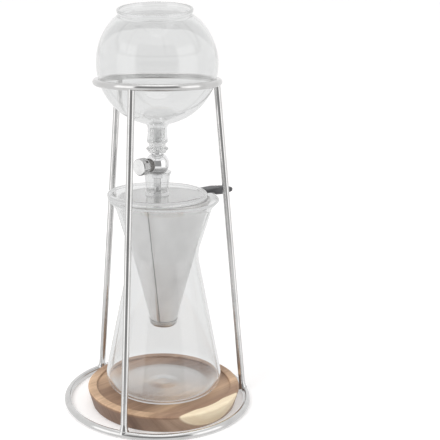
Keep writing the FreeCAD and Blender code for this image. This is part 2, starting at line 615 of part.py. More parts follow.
def make_knob():
    """Knurled knob with the set screw that clamps it on the stem."""
    bore_r = SHAFT_R + PRESS_GAP
    bore_end = KNOB_FACE - KNOB_FACE_WALL
    knob = turned_loop([
        (bore_r, KNOB_BACK, 0), (KNOB_R, KNOB_BACK, KNOB_CHAMFER),
        (KNOB_R, KNOB_FACE, KNOB_CHAMFER), (0, KNOB_FACE, 0),
        (0, bore_end, 0), (bore_r, bore_end, 0)])
    knob = knurled(knob, KNOB_GROOVE_COUNT, KNOB_R, KNOB_BACK + KNOB_CHAMFER, KNOB_L - 2 * KNOB_CHAMFER)
    screw_at = KNOB_BACK + SET_SCREW_AT
    screw_start = bore_r + FIT_GAP
    hole = Part.makeCylinder(SET_SCREW_R + PRESS_GAP, KNOB_R + CUT_OVER, Vector(0, 0, screw_at), Vector(1, 0, 0))
    screw = Part.makeCylinder(SET_SCREW_R, SET_SCREW_L, Vector(screw_start, 0, screw_at), Vector(1, 0, 0))
    return {"valve_knob": along_stem(knob.cut(hole)), "knob_set_screw": along_stem(screw)}


# ---------------------------------------------------------------- brewing set
def make_base():
    """Turned wood base: sides that draw in downwards, and a seat for the carafe."""
    base = turned_loop([
        (0, 0, 0), (BASE_FOOT_R, 0, BASE_EDGE_ROUND), (BASE_TOP_R, BASE_T, BASE_EDGE_ROUND),
        (BASE_RECESS_R, BASE_T, SMALL_ROUND), (BASE_RECESS_R, BASE_SEAT_Z, FINE_ROUND),
        (0, BASE_SEAT_Z, 0)])
    return {"wood_base": on_set_axis(base)}


def make_carafe():
    """Hourglass carafe with a flared lip and a shallow punt in its foot."""
    carafe = turned_shell(CARAFE_OUTSIDE, CARAFE_WALL)
    return {"carafe": on_set_axis(carafe.translated(UP * CARAFE_Z))}


def cone_r(height):
    """Outside radius of the filter cone at a height: it rests on the inside of the carafe's waist."""
    waist = rounding_centre(CARAFE_OUTSIDE, CARAFE_OUTSIDE.index(
        (CARAFE_WAIST_R, CARAFE_WAIST_H, CARAFE_WAIST_ROUND)))
    reach = (CARAFE_WAIST_ROUND + CARAFE_WALL + REST_GAP + SEAM_T) * math.hypot(1, CONE_SLOPE)
    return waist.x - reach + (height - CARAFE_Z - waist.z) * CONE_SLOPE


RIM_R = cone_r(RIM_Z) + RIM_LEG_T
LID_R = RIM_R + LID_OVER_RIM


def cone_sheet(start, end, depth, thickness):
    """Conical sheet between two heights, depth inside the filter's outside surface."""
    return turned_loop([
        (cone_r(start) - depth - thickness, start, 0), (cone_r(start) - depth, start, 0),
        (cone_r(end) - depth, end, 0), (cone_r(end) - depth - thickness, end, 0)])


def make_filter():
    """Double cone of fine steel mesh with its lap seam, rolled rim and pressed tip cap."""
    mesh_end = RIM_TOP_Z - RIM_WEB_T
    outer = cone_sheet(CONE_TIP_Z, mesh_end, 0, CONE_SHEET)
    inner_depth = CONE_SHEET + SHEET_SPACING
    inner = cone_sheet(CONE_TIP_Z, mesh_end, inner_depth, INNER_SHEET)

    cap_end = CONE_TIP_Z + CAP_H
    seam_from = Vector(cone_r(cap_end) - CONE_SHEET / 2, -SEAM_W / 2, cap_end + SEAM_END_GAP)
    seam_to = Vector(cone_r(RIM_Z) - CONE_SHEET / 2, -SEAM_W / 2, RIM_Z - SEAM_END_GAP)
    out = Vector(CONE_SHEET / 2 + SEAM_T, 0, 0)
    seam_side = Part.makePolygon([seam_from, seam_to, seam_to + out, seam_from + out, seam_from])
    seam = Part.Face(seam_side).extrude(Vector(0, SEAM_W, 0))
    seam.rotate(ORIGIN, UP, SEAM_AZIMUTH - 90)
    outer = outer.fuse(seam).removeSplitter()

    neck_gap = PRESS_GAP * 2
    rim = turned_loop([
        (cone_r(RIM_Z) + neck_gap, RIM_Z, 0), (RIM_R, RIM_Z, RIM_ROUND), (RIM_R, RIM_TOP_Z, RIM_ROUND),
        (cone_r(mesh_end) - inner_depth - INNER_SHEET, RIM_TOP_Z, RIM_ROUND),
        (cone_r(mesh_end) - inner_depth - INNER_SHEET, mesh_end + PRESS_GAP, 0),
        (cone_r(mesh_end) + neck_gap, mesh_end + PRESS_GAP, 0)])

    cap_foot = CONE_TIP_Z - PRESS_GAP - CAP_WALL
    cap_in = [(0, CONE_TIP_Z - PRESS_GAP, 0), (cone_r(CONE_TIP_Z) + neck_gap, CONE_TIP_Z - PRESS_GAP, 0),
              (cone_r(cap_end) + neck_gap, cap_end, 0)]
    cap_corner = cone_r(cap_foot) + neck_gap + CAP_WALL
    cap = turned_loop(cap_in + [
        (cone_r(cap_end) + neck_gap + CAP_WALL, cap_end, FINE_ROUND),
        (cap_corner, cap_foot, CAP_ROUND), (0, cap_foot, 0)])
    pieces = {"filter_outer_cone": outer, "filter_inner_mesh": inner,
              "filter_rim": rim, "filter_tip_cap": cap}
    return {name: on_set_axis(piece) for name, piece in pieces.items()}


def handle_bar(outline, width):
    """Bar with its side outline drawn as (distance from the filter's axis, height)."""
    points = [Vector(distance, -width / 2, height) for distance, height in outline]
    return Part.Face(Part.makePolygon(points + points[:1])).extrude(Vector(0, width, 0))


def on_handle(shape):
    """Turn a piece drawn along +X to the handle's azimuth, on the filter's axis."""
    placed = shape.copy()
    placed.rotate(ORIGIN, UP, HANDLE_AZIMUTH - 90)
    return on_set_axis(placed)


def make_handle():
    """Steel tab welded to the rim's side, inside a ridged silicone sleeve."""
    upright = RIM_R + TAB_STANDOFF
    tab_end = upright + TAB_L
    strip_top = RIM_TOP_Z + TAB_RISE
    strip_foot = strip_top - TAB_T
    foot_z = RIM_Z + RIM_ROUND
    foot_top = foot_z + TAB_FOOT_H
    tab = handle_bar([
        (RIM_R - TAB_T, foot_z), (upright + TAB_T, foot_z), (upright + TAB_T, strip_foot),
        (tab_end, strip_foot), (tab_end, strip_top), (upright, strip_top),
        (upright, foot_top), (RIM_R - TAB_T, foot_top)], TAB_W)
    tab = tab.cut(cylinder(RIM_R + PRESS_GAP, RIM_Z - CUT_OVER, RIM_TOP_Z + CUT_OVER))
    gap = PRESS_GAP * 2
    pocket = handle_bar([
        (upright - gap, foot_z), (upright + TAB_T + gap, foot_z),
        (upright + TAB_T + gap, strip_foot - gap), (tab_end + gap, strip_foot - gap),
        (tab_end + gap, strip_top + gap), (upright - gap, strip_top + gap)], TAB_W + 2 * gap)

    start = RIM_R + SLEEVE_STANDOFF
    end = start + SLEEVE_L
    foot = RIM_TOP_Z + REST_GAP
    middle = (start + end) / 2
    belly = foot - SLEEVE_BELLY
    middle_top = belly + SLEEVE_MID_T
    tip_foot = foot - SLEEVE_TIP_DROP
    tip_top = tip_foot + SLEEVE_TIP_T
    sleeve = handle_bar([
        (start, foot), (LIP_REACH + SLEEVE_LIP_ROOM, foot), (middle, belly), (end, tip_foot),
        (end, tip_top), (middle, middle_top), (start, foot + SLEEVE_ROOT_T)], SLEEVE_W)
    tip_edges = [edge for edge in sleeve.Edges
                 if edge.CenterOfMass.x > end - REST_GAP and edge.Length < SLEEVE_MID_T]
    sleeve = sleeve.makeFillet(SLEEVE_TIP_ROUND, tip_edges)
    side = SLEEVE_W / 2 - REST_GAP
    long_edges = [edge for edge in sleeve.Edges
                  if abs(edge.CenterOfMass.y) > side and edge.BoundBox.XLength > REST_GAP]
    sleeve = sleeve.makeFillet(SLEEVE_EDGE_ROUND, long_edges)
    slope = (tip_top - middle_top) / (end - middle)
    for index in range(SLEEVE_RIDGE_COUNT):
        away = SLEEVE_RIDGE_FROM + index * SLEEVE_RIDGE_PITCH
        start_of_groove = Vector(middle + away, -SLEEVE_W / 2, middle_top + away * slope + SLEEVE_RIDGE_RISE)
        groove = Part.makeCylinder(SLEEVE_RIDGE_R, SLEEVE_W, start_of_groove, Vector(0, 1, 0))
        sleeve = sleeve.cut(groove)
    return {"handle_tab": on_handle(tab), "handle_sleeve": on_handle(sleeve.cut(pocket))}


def make_lid():
    """Clear lid: raised rim, thin plate, and a cup with a hole that lets the drip tube through."""
    plate_top = LID_PLATE_Z + LID_PLATE_T
    floor_top = plate_top + CUP_FLOOR_T
    rim_top = LID_Z + LID_RIM_H
    hole_r = TUBE_R + TUBE_HOLE_GAP
    flare_z = CUP_TOP_Z - CUP_FLARE_H
    ring_r = CUP_FOOT_R + CUP_RING_W
    inner_rim_r = LID_R - LID_RIM_W
    lid = turned_loop([
        (hole_r, LID_PLATE_Z, FINE_ROUND), (inner_rim_r - LID_PLATE_UNDER, LID_PLATE_Z, SOFT_ROUND),
        (inner_rim_r, LID_Z, SMALL_ROUND), (LID_R, LID_Z, SOFT_ROUND), (LID_R, rim_top, LID_EDGE_ROUND),
        (inner_rim_r, rim_top, LID_EDGE_ROUND), (inner_rim_r - LID_SLOPE_W, plate_top, SMALL_ROUND),
        (ring_r, plate_top, FINE_ROUND), (ring_r, plate_top + CUP_RING_H, SMALL_ROUND),
        (CUP_FOOT_R, plate_top + CUP_RING_H, FINE_ROUND), (CUP_TOP_R, flare_z, CUP_SIDE_ROUND),
        (CUP_FLARE_R, CUP_TOP_Z, SMALL_ROUND), (CUP_FLARE_R - CUP_WALL, CUP_TOP_Z, SMALL_ROUND),
        (CUP_TOP_R - CUP_WALL, flare_z, CUP_SIDE_ROUND), (CUP_FOOT_R - CUP_WALL, floor_top, SOFT_ROUND),
        (hole_r, floor_top, FINE_ROUND)])
    return {"drip_lid": lid}


# ---------------------------------------------------------------- all nodes
def make_all():
    """Every node of the tower by name."""
    nodes = {}
    for maker in (make_stand, make_globe, make_tap, make_stem, make_knob, make_base,
                  make_carafe, make_filter, make_handle, make_lid):
        nodes.update(maker())
    return nodes


def main():
    """Write one STEP file per node."""
    os.makedirs("parts", exist_ok=True)
    for name, shape in make_all().items():
        solids = shape.Solids
        piece = solids[0] if len(solids) == 1 else Part.makeCompound(solids)
        piece.exportStep(os.path.join("parts", name + ".step"))
        print(f"{name:20s} solids {len(solids)} valid {piece.isValid()} volume {piece.Volume:9.1f}")


main()
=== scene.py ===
"""Cold drip coffee tower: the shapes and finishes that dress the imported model.

The scene is in metres, +Z up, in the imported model's own frame: the origin is on the table,
on the axis of the stand's two rings, and -Y is the front. Sizes in the classes are in
millimetres and angles in degrees; azimuths count from the front towards the right.
"""

import logging
import math
from contextlib import contextmanager
from dataclasses import dataclass
from enum import Enum
from functools import lru_cache
from typing import Callable, Iterator, Optional, Sequence, Union

import bpy
from mathutils import Matrix, Vector


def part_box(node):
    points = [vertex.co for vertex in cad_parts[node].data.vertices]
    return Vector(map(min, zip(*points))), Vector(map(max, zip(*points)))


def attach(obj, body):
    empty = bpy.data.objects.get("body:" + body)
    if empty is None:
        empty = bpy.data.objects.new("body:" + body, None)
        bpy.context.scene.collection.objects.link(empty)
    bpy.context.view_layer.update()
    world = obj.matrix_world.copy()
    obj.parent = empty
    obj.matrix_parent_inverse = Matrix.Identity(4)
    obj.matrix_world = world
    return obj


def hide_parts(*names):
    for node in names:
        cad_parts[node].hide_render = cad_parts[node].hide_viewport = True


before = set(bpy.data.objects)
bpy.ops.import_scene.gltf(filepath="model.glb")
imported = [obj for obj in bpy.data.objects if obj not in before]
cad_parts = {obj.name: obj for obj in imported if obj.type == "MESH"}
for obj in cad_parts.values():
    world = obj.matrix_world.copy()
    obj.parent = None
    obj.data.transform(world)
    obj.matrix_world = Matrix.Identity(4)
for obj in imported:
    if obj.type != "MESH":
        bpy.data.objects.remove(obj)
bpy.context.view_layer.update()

log = logging.getLogger("drip_tower")

MM = 0.001
UP = Vector((0.0, 0.0, 1.0))
TIGHT = 2e-6  # points closer than this, in metres, are one
GAP = 0.02  # between two pieces that fit into one another, in millimetres

Pair = tuple[float, float]
Point = tuple[float, float]
Corner = tuple[float, float, float]
Triple = tuple[float, float, float]
Colour = tuple[float, float, float]
Span = tuple[float, float, float, float]


class Slot(Enum):
    """Material slots of the record."""

    STAND = "stand_wire"
    GLOBE = "globe_glass"
    CARAFE = "carafe_glass"
    STOPPER = "stopper_silicone"
    TAP = "tap_chrome"
    NUT = "nut_steel"
    KNOB = "knob_steel"
    SEAT = "seat_brass"
    GLAND = "gland_plastic"
    SEAL = "seal_rubber"
    TUBE = "tube_steel"
    LID = "lid_clear"
    FILTER = "filter_steel"
    SLEEVE = "sleeve_silicone"
    BASE = "base_wood"


# ---------------------------------------------------------------- the drawing board
def outward(azimuth: float) -> Vector:
    """Level unit vector that points away from the axis at an azimuth.

    Args:
        azimuth: Degrees from the front towards the right.

    Returns:
        The unit vector.
    """
    angle = math.radians(azimuth)
    return Vector((math.sin(angle), -math.cos(angle), 0.0))


def arc(centre: Point, radius: float, start: float, end: float, step: float = 6.0) -> list[Point]:
    """Points of an arc in the radius-height plane, both ends included.

    Args:
        centre: Middle of the arc.
        radius: Its radius.
        start: First angle, from the radius direction towards the height direction.
        end: Last angle.
        step: Largest angle between two points.

    Returns:
        The points in order.
    """
    count = max(1, math.ceil(abs(end - start) / step))
    points = []
    for index in range(count + 1):
        angle = math.radians(start + (end - start) * index / count)
        points.append((centre[0] + radius * math.cos(angle), centre[1] + radius * math.sin(angle)))
    return points


def rounded(corners: Sequence[Corner], step: float = 12.0, hold: float = 0.35) -> list[Point]:
    """Straight runs with rounded corners, and a holding point near each end of a long run.

    Args:
        corners: Radius, height and rounding of each corner; the two ends aren't rounded.
        step: Largest angle between two points of a rounding.
        hold: Distance of the holding points from the ends of a run.

    Returns:
        The points in order.
    """
    runs: list[list[Vector]] = []
    last = len(corners) - 1
    for index, (radius, height, rounding) in enumerate(corners):
        here = Vector((radius, height))
        if index in (0, last) or rounding == 0:
            runs.append([here])
            continue
        back = (Vector(corners[index - 1][:2]) - here).normalized()
        ahead = (Vector(corners[index + 1][:2]) - here).normalized()
        half = back.angle(ahead) / 2
        centre = here + (back + ahead).normalized() * (rounding / math.sin(half))
        first = here + back * (rounding / math.tan(half)) - centre
        sweep = math.pi - 2 * half
        if first.cross(here + ahead * (rounding / math.tan(half)) - centre) < 0:
            sweep = -sweep
        count = max(2, math.ceil(abs(math.degrees(sweep)) / step))
        spokes = [Matrix.Rotation(sweep * part / count, 2) @ first for part in range(count + 1)]
        runs.append([centre + spoke for spoke in spokes])
    points = [runs[0][0]]
    for before, after in zip(runs, runs[1:]):
        start, end = before[-1], after[0]
        length = (end - start).length
        if length > 6 * hold:
            along = (end - start).normalized() * hold
            points += [start + along, end - along]
        points += after
    return [(point.x, point.y) for point in points]


def offset(corners: Sequence[Corner], distance: float) -> list[Corner]:
    """The same corners, moved to the left of their direction, with concentric roundings.

    Args:
        corners: Radius, height and rounding of each corner.
        distance: How far they move.

    Returns:
        The moved corners.
    """
    ways = [(Vector(b[:2]) - Vector(a[:2])).normalized() for a, b in zip(corners, corners[1:])]
    last = len(corners) - 1
    moved = []
    for index, (radius, height, rounding) in enumerate(corners):
        before = ways[max(index - 1, 0)]
        after = ways[min(index, last - 1)]
        share = distance / (1 + before.dot(after))
        if rounding:
            rounding += -distance if before.cross(after) > 0 else distance
        aside, rise = (before.y + after.y) * share, (before.x + after.x) * share
        moved.append((radius - aside, height + rise, rounding))
    return moved


def raised(corners: Sequence[Corner], height: float) -> list[Corner]:
    """The same corners, higher."""
    return [(radius, height + above, rounding) for radius, above, rounding in corners]


def shade(colour: Colour, factor: float) -> Colour:
    """The same colour, darker by a factor."""
    return tuple(part * factor for part in colour)


# ---------------------------------------------------------------- the workbench
def put_down() -> None:
    """Deselect everything."""
    bpy.ops.object.select_all(action="DESELECT")


def take(piece: bpy.types.Object) -> None:
    """Select one piece alone and make it active.

    Args:
        piece: The piece.
    """
    put_down()
    piece.select_set(True)
    bpy.context.view_layer.objects.active = piece


def just_added(name: str) -> bpy.types.Object:
    """The primitive that was added last, under its name.

    Args:
        name: The piece's name.

    Returns:
        The piece.
    """
    piece = bpy.context.active_object
    piece.name = piece.data.name = name
    return piece


def settle(piece: bpy.types.Object) -> None:
    """Put a piece's place, turn and size into its mesh."""
    take(piece)
    bpy.ops.object.transform_apply(location=True, rotation=True, scale=True)


@contextmanager
def editing(piece: bpy.types.Object) -> Iterator[bpy.types.Object]:
    """Edit mode on one piece, with everything in it selected.

    Args:
        piece: The piece to edit.

    Returns:
        An iterator that gives the piece once.
    """
    take(piece)
    bpy.ops.object.mode_set(mode="EDIT")
    bpy.ops.mesh.select_all(action="SELECT")
    yield piece
    bpy.ops.object.mode_set(mode="OBJECT")


def pick(piece: bpy.types.Object, wanted: Callable[[bpy.types.MeshVertex], bool]) -> int:
    """Select points of a piece in edit mode.

    Args:
        piece: The piece being edited.
        wanted: Says whether a point is wanted.

    Returns:
        How many points were selected.
    """
    bpy.ops.mesh.select_mode(type="VERT")
    bpy.ops.mesh.select_all(action="DESELECT")
    bpy.ops.object.mode_set(mode="OBJECT")
    count = 0
    for vertex in piece.data.vertices:
        vertex.select = bool(wanted(vertex))
        count += vertex.select
    bpy.ops.object.mode_set(mode="EDIT")
    return count


def finish_mesh(piece: bpy.types.Object, sharp: float) -> None:
    """Apply a piece's place and shade it smooth but for its sharp edges.

    Args:
        piece: The piece.
        sharp: Edges that turn by more than this stay sharp.
    """
    settle(piece)
    bpy.ops.object.shade_smooth_by_angle(angle=math.radians(sharp))
    put_down()


def turn(name: str, outline: Sequence[Point], axis: Vector = Vector((0, 0, 0)),
         closed: bool = True, steps: int = 144, sharp: Optional[float] = None) -> bpy.types.Object:
    """Turn a piece from an outline, as on a lathe.

    Args:
        name: Name of the piece.
        outline: Radius and height of each point.
        axis: A point of the upright axis, in metres.
        closed: Whether the outline returns to its start; otherwise it begins and ends on the axis.
        steps: Number of faces round the piece.
        sharp: If given, the piece is shaded smooth but for edges that turn by more than this.

    Returns:
        The turned piece.
    """
    bpy.ops.mesh.primitive_plane_add(size=MM, location=axis)
    piece = just_added(name)
    path = list(outline) + ([outline[0]] if closed else [])
    with editing(piece):
        bpy.ops.mesh.merge(type="CENTER")
        bpy.ops.transform.translate(value=(path[0][0] * MM, 0, path[0][1] * MM))
        for (r0, z0), (r1, z1) in zip(path, path[1:]):
            move = ((r1 - r0) * MM, 0, (z1 - z0) * MM)
            bpy.ops.mesh.extrude_region_move(TRANSFORM_OT_translate={"value": move})
        bpy.ops.mesh.select_all(action="SELECT")
        bpy.ops.mesh.remove_doubles(threshold=TIGHT)
        bpy.ops.mesh.spin(steps=steps, angle=2 * math.pi, center=axis, axis=UP)
        bpy.ops.mesh.select_all(action="SELECT")
        bpy.ops.mesh.remove_doubles(threshold=TIGHT)
        bpy.ops.mesh.normals_make_consistent(inside=False)
    if sharp is not None:
        finish_mesh(piece, sharp)
    return piece


def lay(piece: bpy.types.Object, place: Vector, direction: Vector) -> None:
    """Lay a piece that was made round Z onto another axis.

    Args:
        piece: The piece, made at the origin.
        place: Where its origin goes, in metres.
        direction: Where its Z axis goes.
    """
    rotation = UP.rotation_difference(direction.normalized())
    piece.matrix_world = Matrix.Translation(place) @ rotation.to_matrix().to_4x4()
    settle(piece)
    put_down()


def carve(piece: bpy.types.Object, tool: bpy.types.Object, operation: str = "DIFFERENCE") -> None:
    """Join a tool to a piece or cut it out of the piece, and clear the tool away.

    Args:
        piece: The piece to change.
        tool: The closed mesh that cuts or is added.
        operation: DIFFERENCE or UNION.
    """
    take(piece)
    modifier = piece.modifiers.new("carve", "BOOLEAN")
    modifier.operation = operation
    modifier.solver = "EXACT"
    modifier.object = tool
    bpy.ops.object.modifier_apply(modifier=modifier.name)
    bpy.data.objects.remove(tool, do_unlink=True)
    put_down()


def join(name: str, pieces: Sequence[bpy.types.Object]) -> bpy.types.Object:
    """Join meshes into one piece.

    Args:
        name: Name of the joined piece.
        pieces: The meshes; the first one stays.

    Returns:
        The joined piece.
    """
    put_down()
    for piece in pieces:
        piece.select_set(True)
    bpy.context.view_layer.objects.active = pieces[0]
    bpy.ops.object.join()
    pieces[0].name = pieces[0].data.name = name
    put_down()
    return pieces[0]


def knurl(piece: bpy.types.Object, count: int, per_groove: int, radius: float, depth: float,
          low: float, high: float) -> None:
    """Press straight V grooves into a turned piece round Z that stands at the origin.

    Args:
        piece: The piece, turned with count * per_groove steps.
        count: Number of grooves.
        per_groove: Points round each groove, its flat crest included.
        radius: Outside radius.
        depth: Depth of a groove.
        low: Lowest height that the grooves reach.
        high: Highest height.
    """
    middle = per_groove / 2 + 0.5
    deepest = per_groove / 2 - 0.5
    levels = per_groove // 2

    def level_of(at: Vector) -> int:
        """How deep in its groove a point is.

        Args:
            at: The point's place.

        Returns:
            0 or less on a crest and off the grooves, and 1 for the shallowest level.
        """
        near = abs(math.hypot(at.x, at.y) / MM - radius) < depth / 4
        if not near or not low - 0.01 <= at.z / MM <= high + 0.01:
            return 0
        spot = math.atan2(at.y, at.x) / (2 * math.pi) * count * per_groove
        away = abs(round(spot) % per_groove - middle)
        return round(deepest - away + 0.5)

    with editing(piece):
        for level in range(1, levels + 1):
            if pick(piece, lambda point, level=level: level_of(point.co) == level):
                size = 1 - depth * level / levels / radius
                bpy.ops.transform.resize(value=(size, size, 1), center_override=(0, 0, 0))


# ---------------------------------------------------------------- the paint shop
Value = Union[float, "Signal"]


class Signal:
    """A shader value that can be written in a sum: each operator adds its Math node."""

    def __init__(self, graph: "Graph", socket: bpy.types.NodeSocket) -> None:
        """Wrap an output socket of a graph."""
        self.graph = graph
        self.socket = socket

    def apply(self, operation: str, *others: Value) -> "Signal":
        """Put this value, and others after it, through a Math node."""
        return self.graph.maths(operation, self, *others)

    def __add__(self, other: Value) -> "Signal":
        """Sum."""
        return self.apply("ADD", other)

    __radd__ = __add__

    def __sub__(self, other: Value) -> "Signal":
        """Difference."""
        return self.apply("SUBTRACT", other)

    def __rsub__(self, other: Value) -> "Signal":
        """Difference from a number."""
        return self.graph.maths("SUBTRACT", other, self)

    def __mul__(self, other: Value) -> "Signal":
        """Product."""
        return self.apply("MULTIPLY", other)

    __rmul__ = __mul__

    def __truediv__(self, other: Value) -> "Signal":
        """Quotient."""
        return self.apply("DIVIDE", other)

    def __pow__(self, other: Value) -> "Signal":
        """Power."""
        return self.apply("POWER", other)

    def __abs__(self) -> "Signal":
        """Size without sign."""
        return self.apply("ABSOLUTE")

    def sine(self) -> "Signal":
        """Sine of the value in radians."""
        return self.apply("SINE")

    def between(self, low: float, high: float) -> "Signal":
        """Smooth step between two values.

        Args:
            low: Where the result is 0.
            high: Where it is 1; it may be the smaller one.

        Returns:
            The result.
        """
        steps = {"Value": self, "From Min": low, "From Max": high, "To Min": 0.0, "To Max": 1.0}
        if low > high:
            steps.update({"From Min": high, "From Max": low, "To Min": 1.0, "To Max": 0.0})
        node = self.graph.node("ShaderNodeMapRange", {"interpolation_type": "SMOOTHSTEP"}, steps)
        return Signal(self.graph, node.outputs["Result"])

    def within(self, span: Span, unit: float = 1.0) -> "Signal":
        """1 inside a span, easing to 0 over its two first and its two last limits."""
        first, full, fading, last = (limit * unit for limit in span)
        return self.between(first, full) * self.between(last, fading)

    def towards(self, goal: Value, share: "Signal") -> "Signal":
        """This value, moved towards another by a share."""
        return self + share * (goal - self)


class Graph:
    """The node tree of a finish or of the surroundings."""

    def __init__(self, tree: bpy.types.NodeTree) -> None:
        """Start from an empty tree."""
        self.tree = tree
        tree.nodes.clear()

    def node(self, kind: str, settings: Optional[dict] = None,
             inputs: Optional[dict] = None) -> bpy.types.Node:
        """Add a node.

        Args:
            kind: The node's type.
            settings: Its properties, set first.
            inputs: Values, signals or sockets for its inputs, by name or number.

        Returns:
            The node.
        """
        node = self.tree.nodes.new(kind)
        for key, value in (settings or {}).items():
            setattr(node, key, value)
        for key, value in (inputs or {}).items():
            value = getattr(value, "socket", value)
            if isinstance(value, bpy.types.NodeSocket):
                self.tree.links.new(value, node.inputs[key])
            else:
                node.inputs[key].default_value = value
        return node

    def maths(self, operation: str, *values: Value) -> Signal:
        """A Math node on some values; gives its result."""
        node = self.node("ShaderNodeMath", {"operation": operation}, dict(enumerate(values)))
        return Signal(self, node.outputs[0])

    def value(self, kind: str, output: str) -> Signal:
        """What a node without inputs gives."""
        return Signal(self, self.node(kind).outputs[output])

    def place(self, shift: Sequence[float] = (0, 0, 0), turned: Sequence[float] = (0, 0, 0),
              scale: Sequence[float] = (1, 1, 1), kind: str = "POINT") -> bpy.types.NodeSocket:
        """Place on the piece in metres, moved, turned and scaled.

        Args:
            shift: Location of the mapping, in metres.
            turned: Rotation of the mapping, in radians.
            scale: Scale along each axis.
            kind: POINT scales, turns and then moves; TEXTURE undoes a move, turn and scale.

        Returns:
            The vector socket.
        """
        source = self.node("ShaderNodeTexCoord").outputs["Object"]
        inputs = {"Vector": source, "Location": shift, "Rotation": turned, "Scale": scale}
        return self.node("ShaderNodeMapping", {"vector_type": kind}, inputs).outputs["Vector"]

    def parts(self, vector: bpy.types.NodeSocket) -> tuple[Signal, Signal, Signal]:
        """The three parts of a vector."""
        split = self.node("ShaderNodeSeparateXYZ", inputs={"Vector": vector})
        return tuple(Signal(self, output) for output in split.outputs)

    def from_axis(self, axis: Point) -> tuple[Signal, Signal, Signal]:
        """The place on the piece, counted from an upright axis that is given in millimetres."""
        return self.parts(self.place((-axis[0] * MM, -axis[1] * MM, 0)))

    def together(self, x: Value, y: Value, z: Value) -> bpy.types.NodeSocket:
        """A vector of three values."""
        return self.node("ShaderNodeCombineXYZ", inputs={"X": x, "Y": y, "Z": z}).outputs[0]

    def noise(self, vector: bpy.types.NodeSocket, scale: float, detail: float,
              rough: float) -> Signal:
        """Cloudy noise between 0 and 1."""
        inputs = {"Vector": vector, "Scale": scale, "Detail": detail, "Roughness": rough}
        return Signal(self, self.node("ShaderNodeTexNoise", inputs=inputs).outputs[0])

    def blend(self, factor: Value, first: object, second: object,
              how: str = "MIX") -> bpy.types.NodeSocket:
        """Mix two colours.

        Args:
            factor: Share of the second colour.
            first: A colour or the socket of one.
            second: A colour or the socket of one.
            how: The mix's blend type.

        Returns:
            The colour socket.
        """
        inputs = {0: factor, 6: first, 7: second}
        for key in (6, 7):
            if isinstance(inputs[key], tuple):
                inputs[key] = (*inputs[key], 1.0)
        settings = {"data_type": "RGBA", "blend_type": how}
        return self.node("ShaderNodeMix", settings, inputs).outputs[2]

    def toned(self, factor: Value, colour: bpy.types.NodeSocket,
              tone: object) -> bpy.types.NodeSocket:
        """A colour that is multiplied by a tone, by a factor."""
        return self.blend(factor, colour, self.blend(1.0, colour, tone, "MULTIPLY"))

    def bump(self, height: Value, depth: float, strength: float) -> bpy.types.NodeSocket:
        """A bumped normal; depth is in metres."""
        inputs = {"Height": height, "Distance": depth, "Strength": strength}
        return self.node("ShaderNodeBump", inputs=inputs).outputs["Normal"]

    def shader(self, kind: str, inputs: dict) -> bpy.types.NodeSocket:
        """A shader of some kind; gives its socket."""
        return self.node(kind, inputs=inputs).outputs[0]

    def show(self, shader: bpy.types.NodeSocket) -> None:
        """Put a shader on the output."""
        self.node("ShaderNodeOutputMaterial", inputs={"Surface": shader})

    def surface(self, inputs: dict) -> None:
        """Put a Principled shader with these inputs on the output."""
        self.show(self.shader("ShaderNodeBsdfPrincipled", inputs))

    def show_mix(self, factor: Value, first: bpy.types.NodeSocket,
                 second: bpy.types.NodeSocket) -> None:
        """Put a mix of two shaders on the output."""
        self.show(self.shader("ShaderNodeMixShader", {0: factor, 1: first, 2: second}))


@dataclass(frozen=True)
class Finish:
    """A finish for the pieces of one material slot."""

    slot: Slot

    @lru_cache(maxsize=None)
    def material(self) -> bpy.types.Material:
        """Make the finish's material, the first time that it is asked for.

        Returns:
            The material.
        """
        material = bpy.data.materials.new(self.slot.value)
        material.use_nodes = True
        self.fill(Graph(material.node_tree))
        return material

    def fill(self, graph: Graph) -> None:
        """Fill the node tree of the finish's material."""
        raise NotImplementedError


class Polish(Enum):
    """How a metal was finished: roughness, its spread, and the depth of its marks in mm."""

    MIRROR = (0.05, 0.04, 0.002)
    BRIGHT = (0.12, 0.08, 0.004)
    SATIN = (0.28, 0.12, 0.008)


@dataclass(frozen=True)
class Metal(Finish):
    """Solid metal with handling marks and fine scratches."""

    colour: Colour = (0.62, 0.62, 0.63)
    polish: Polish = Polish.BRIGHT
    grain: float = 900.0
    smear: float = 60.0

    def fill(self, graph: Graph) -> None:
        """Uneven polish, faint scratches and a little darkening in the smears.

        Args:
            graph: The node tree.
        """
        rough, spread, marks = self.polish.value
        fine = graph.noise(graph.place(scale=(1, 1, 0.25)), self.grain, 4, 0.6)
        smears = graph.noise(graph.place(), self.smear, 5, 0.55)
        worn = smears.between(0.42, 0.68)
        graph.surface({
            "Base Color": graph.blend(worn, self.colour, shade(self.colour, 0.9)),
            "Metallic": 1.0,
            "Roughness": rough + worn * spread + (fine - 0.5) * (spread * 0.5),
            "Normal": graph.bump(fine, marks * MM, 0.6)})


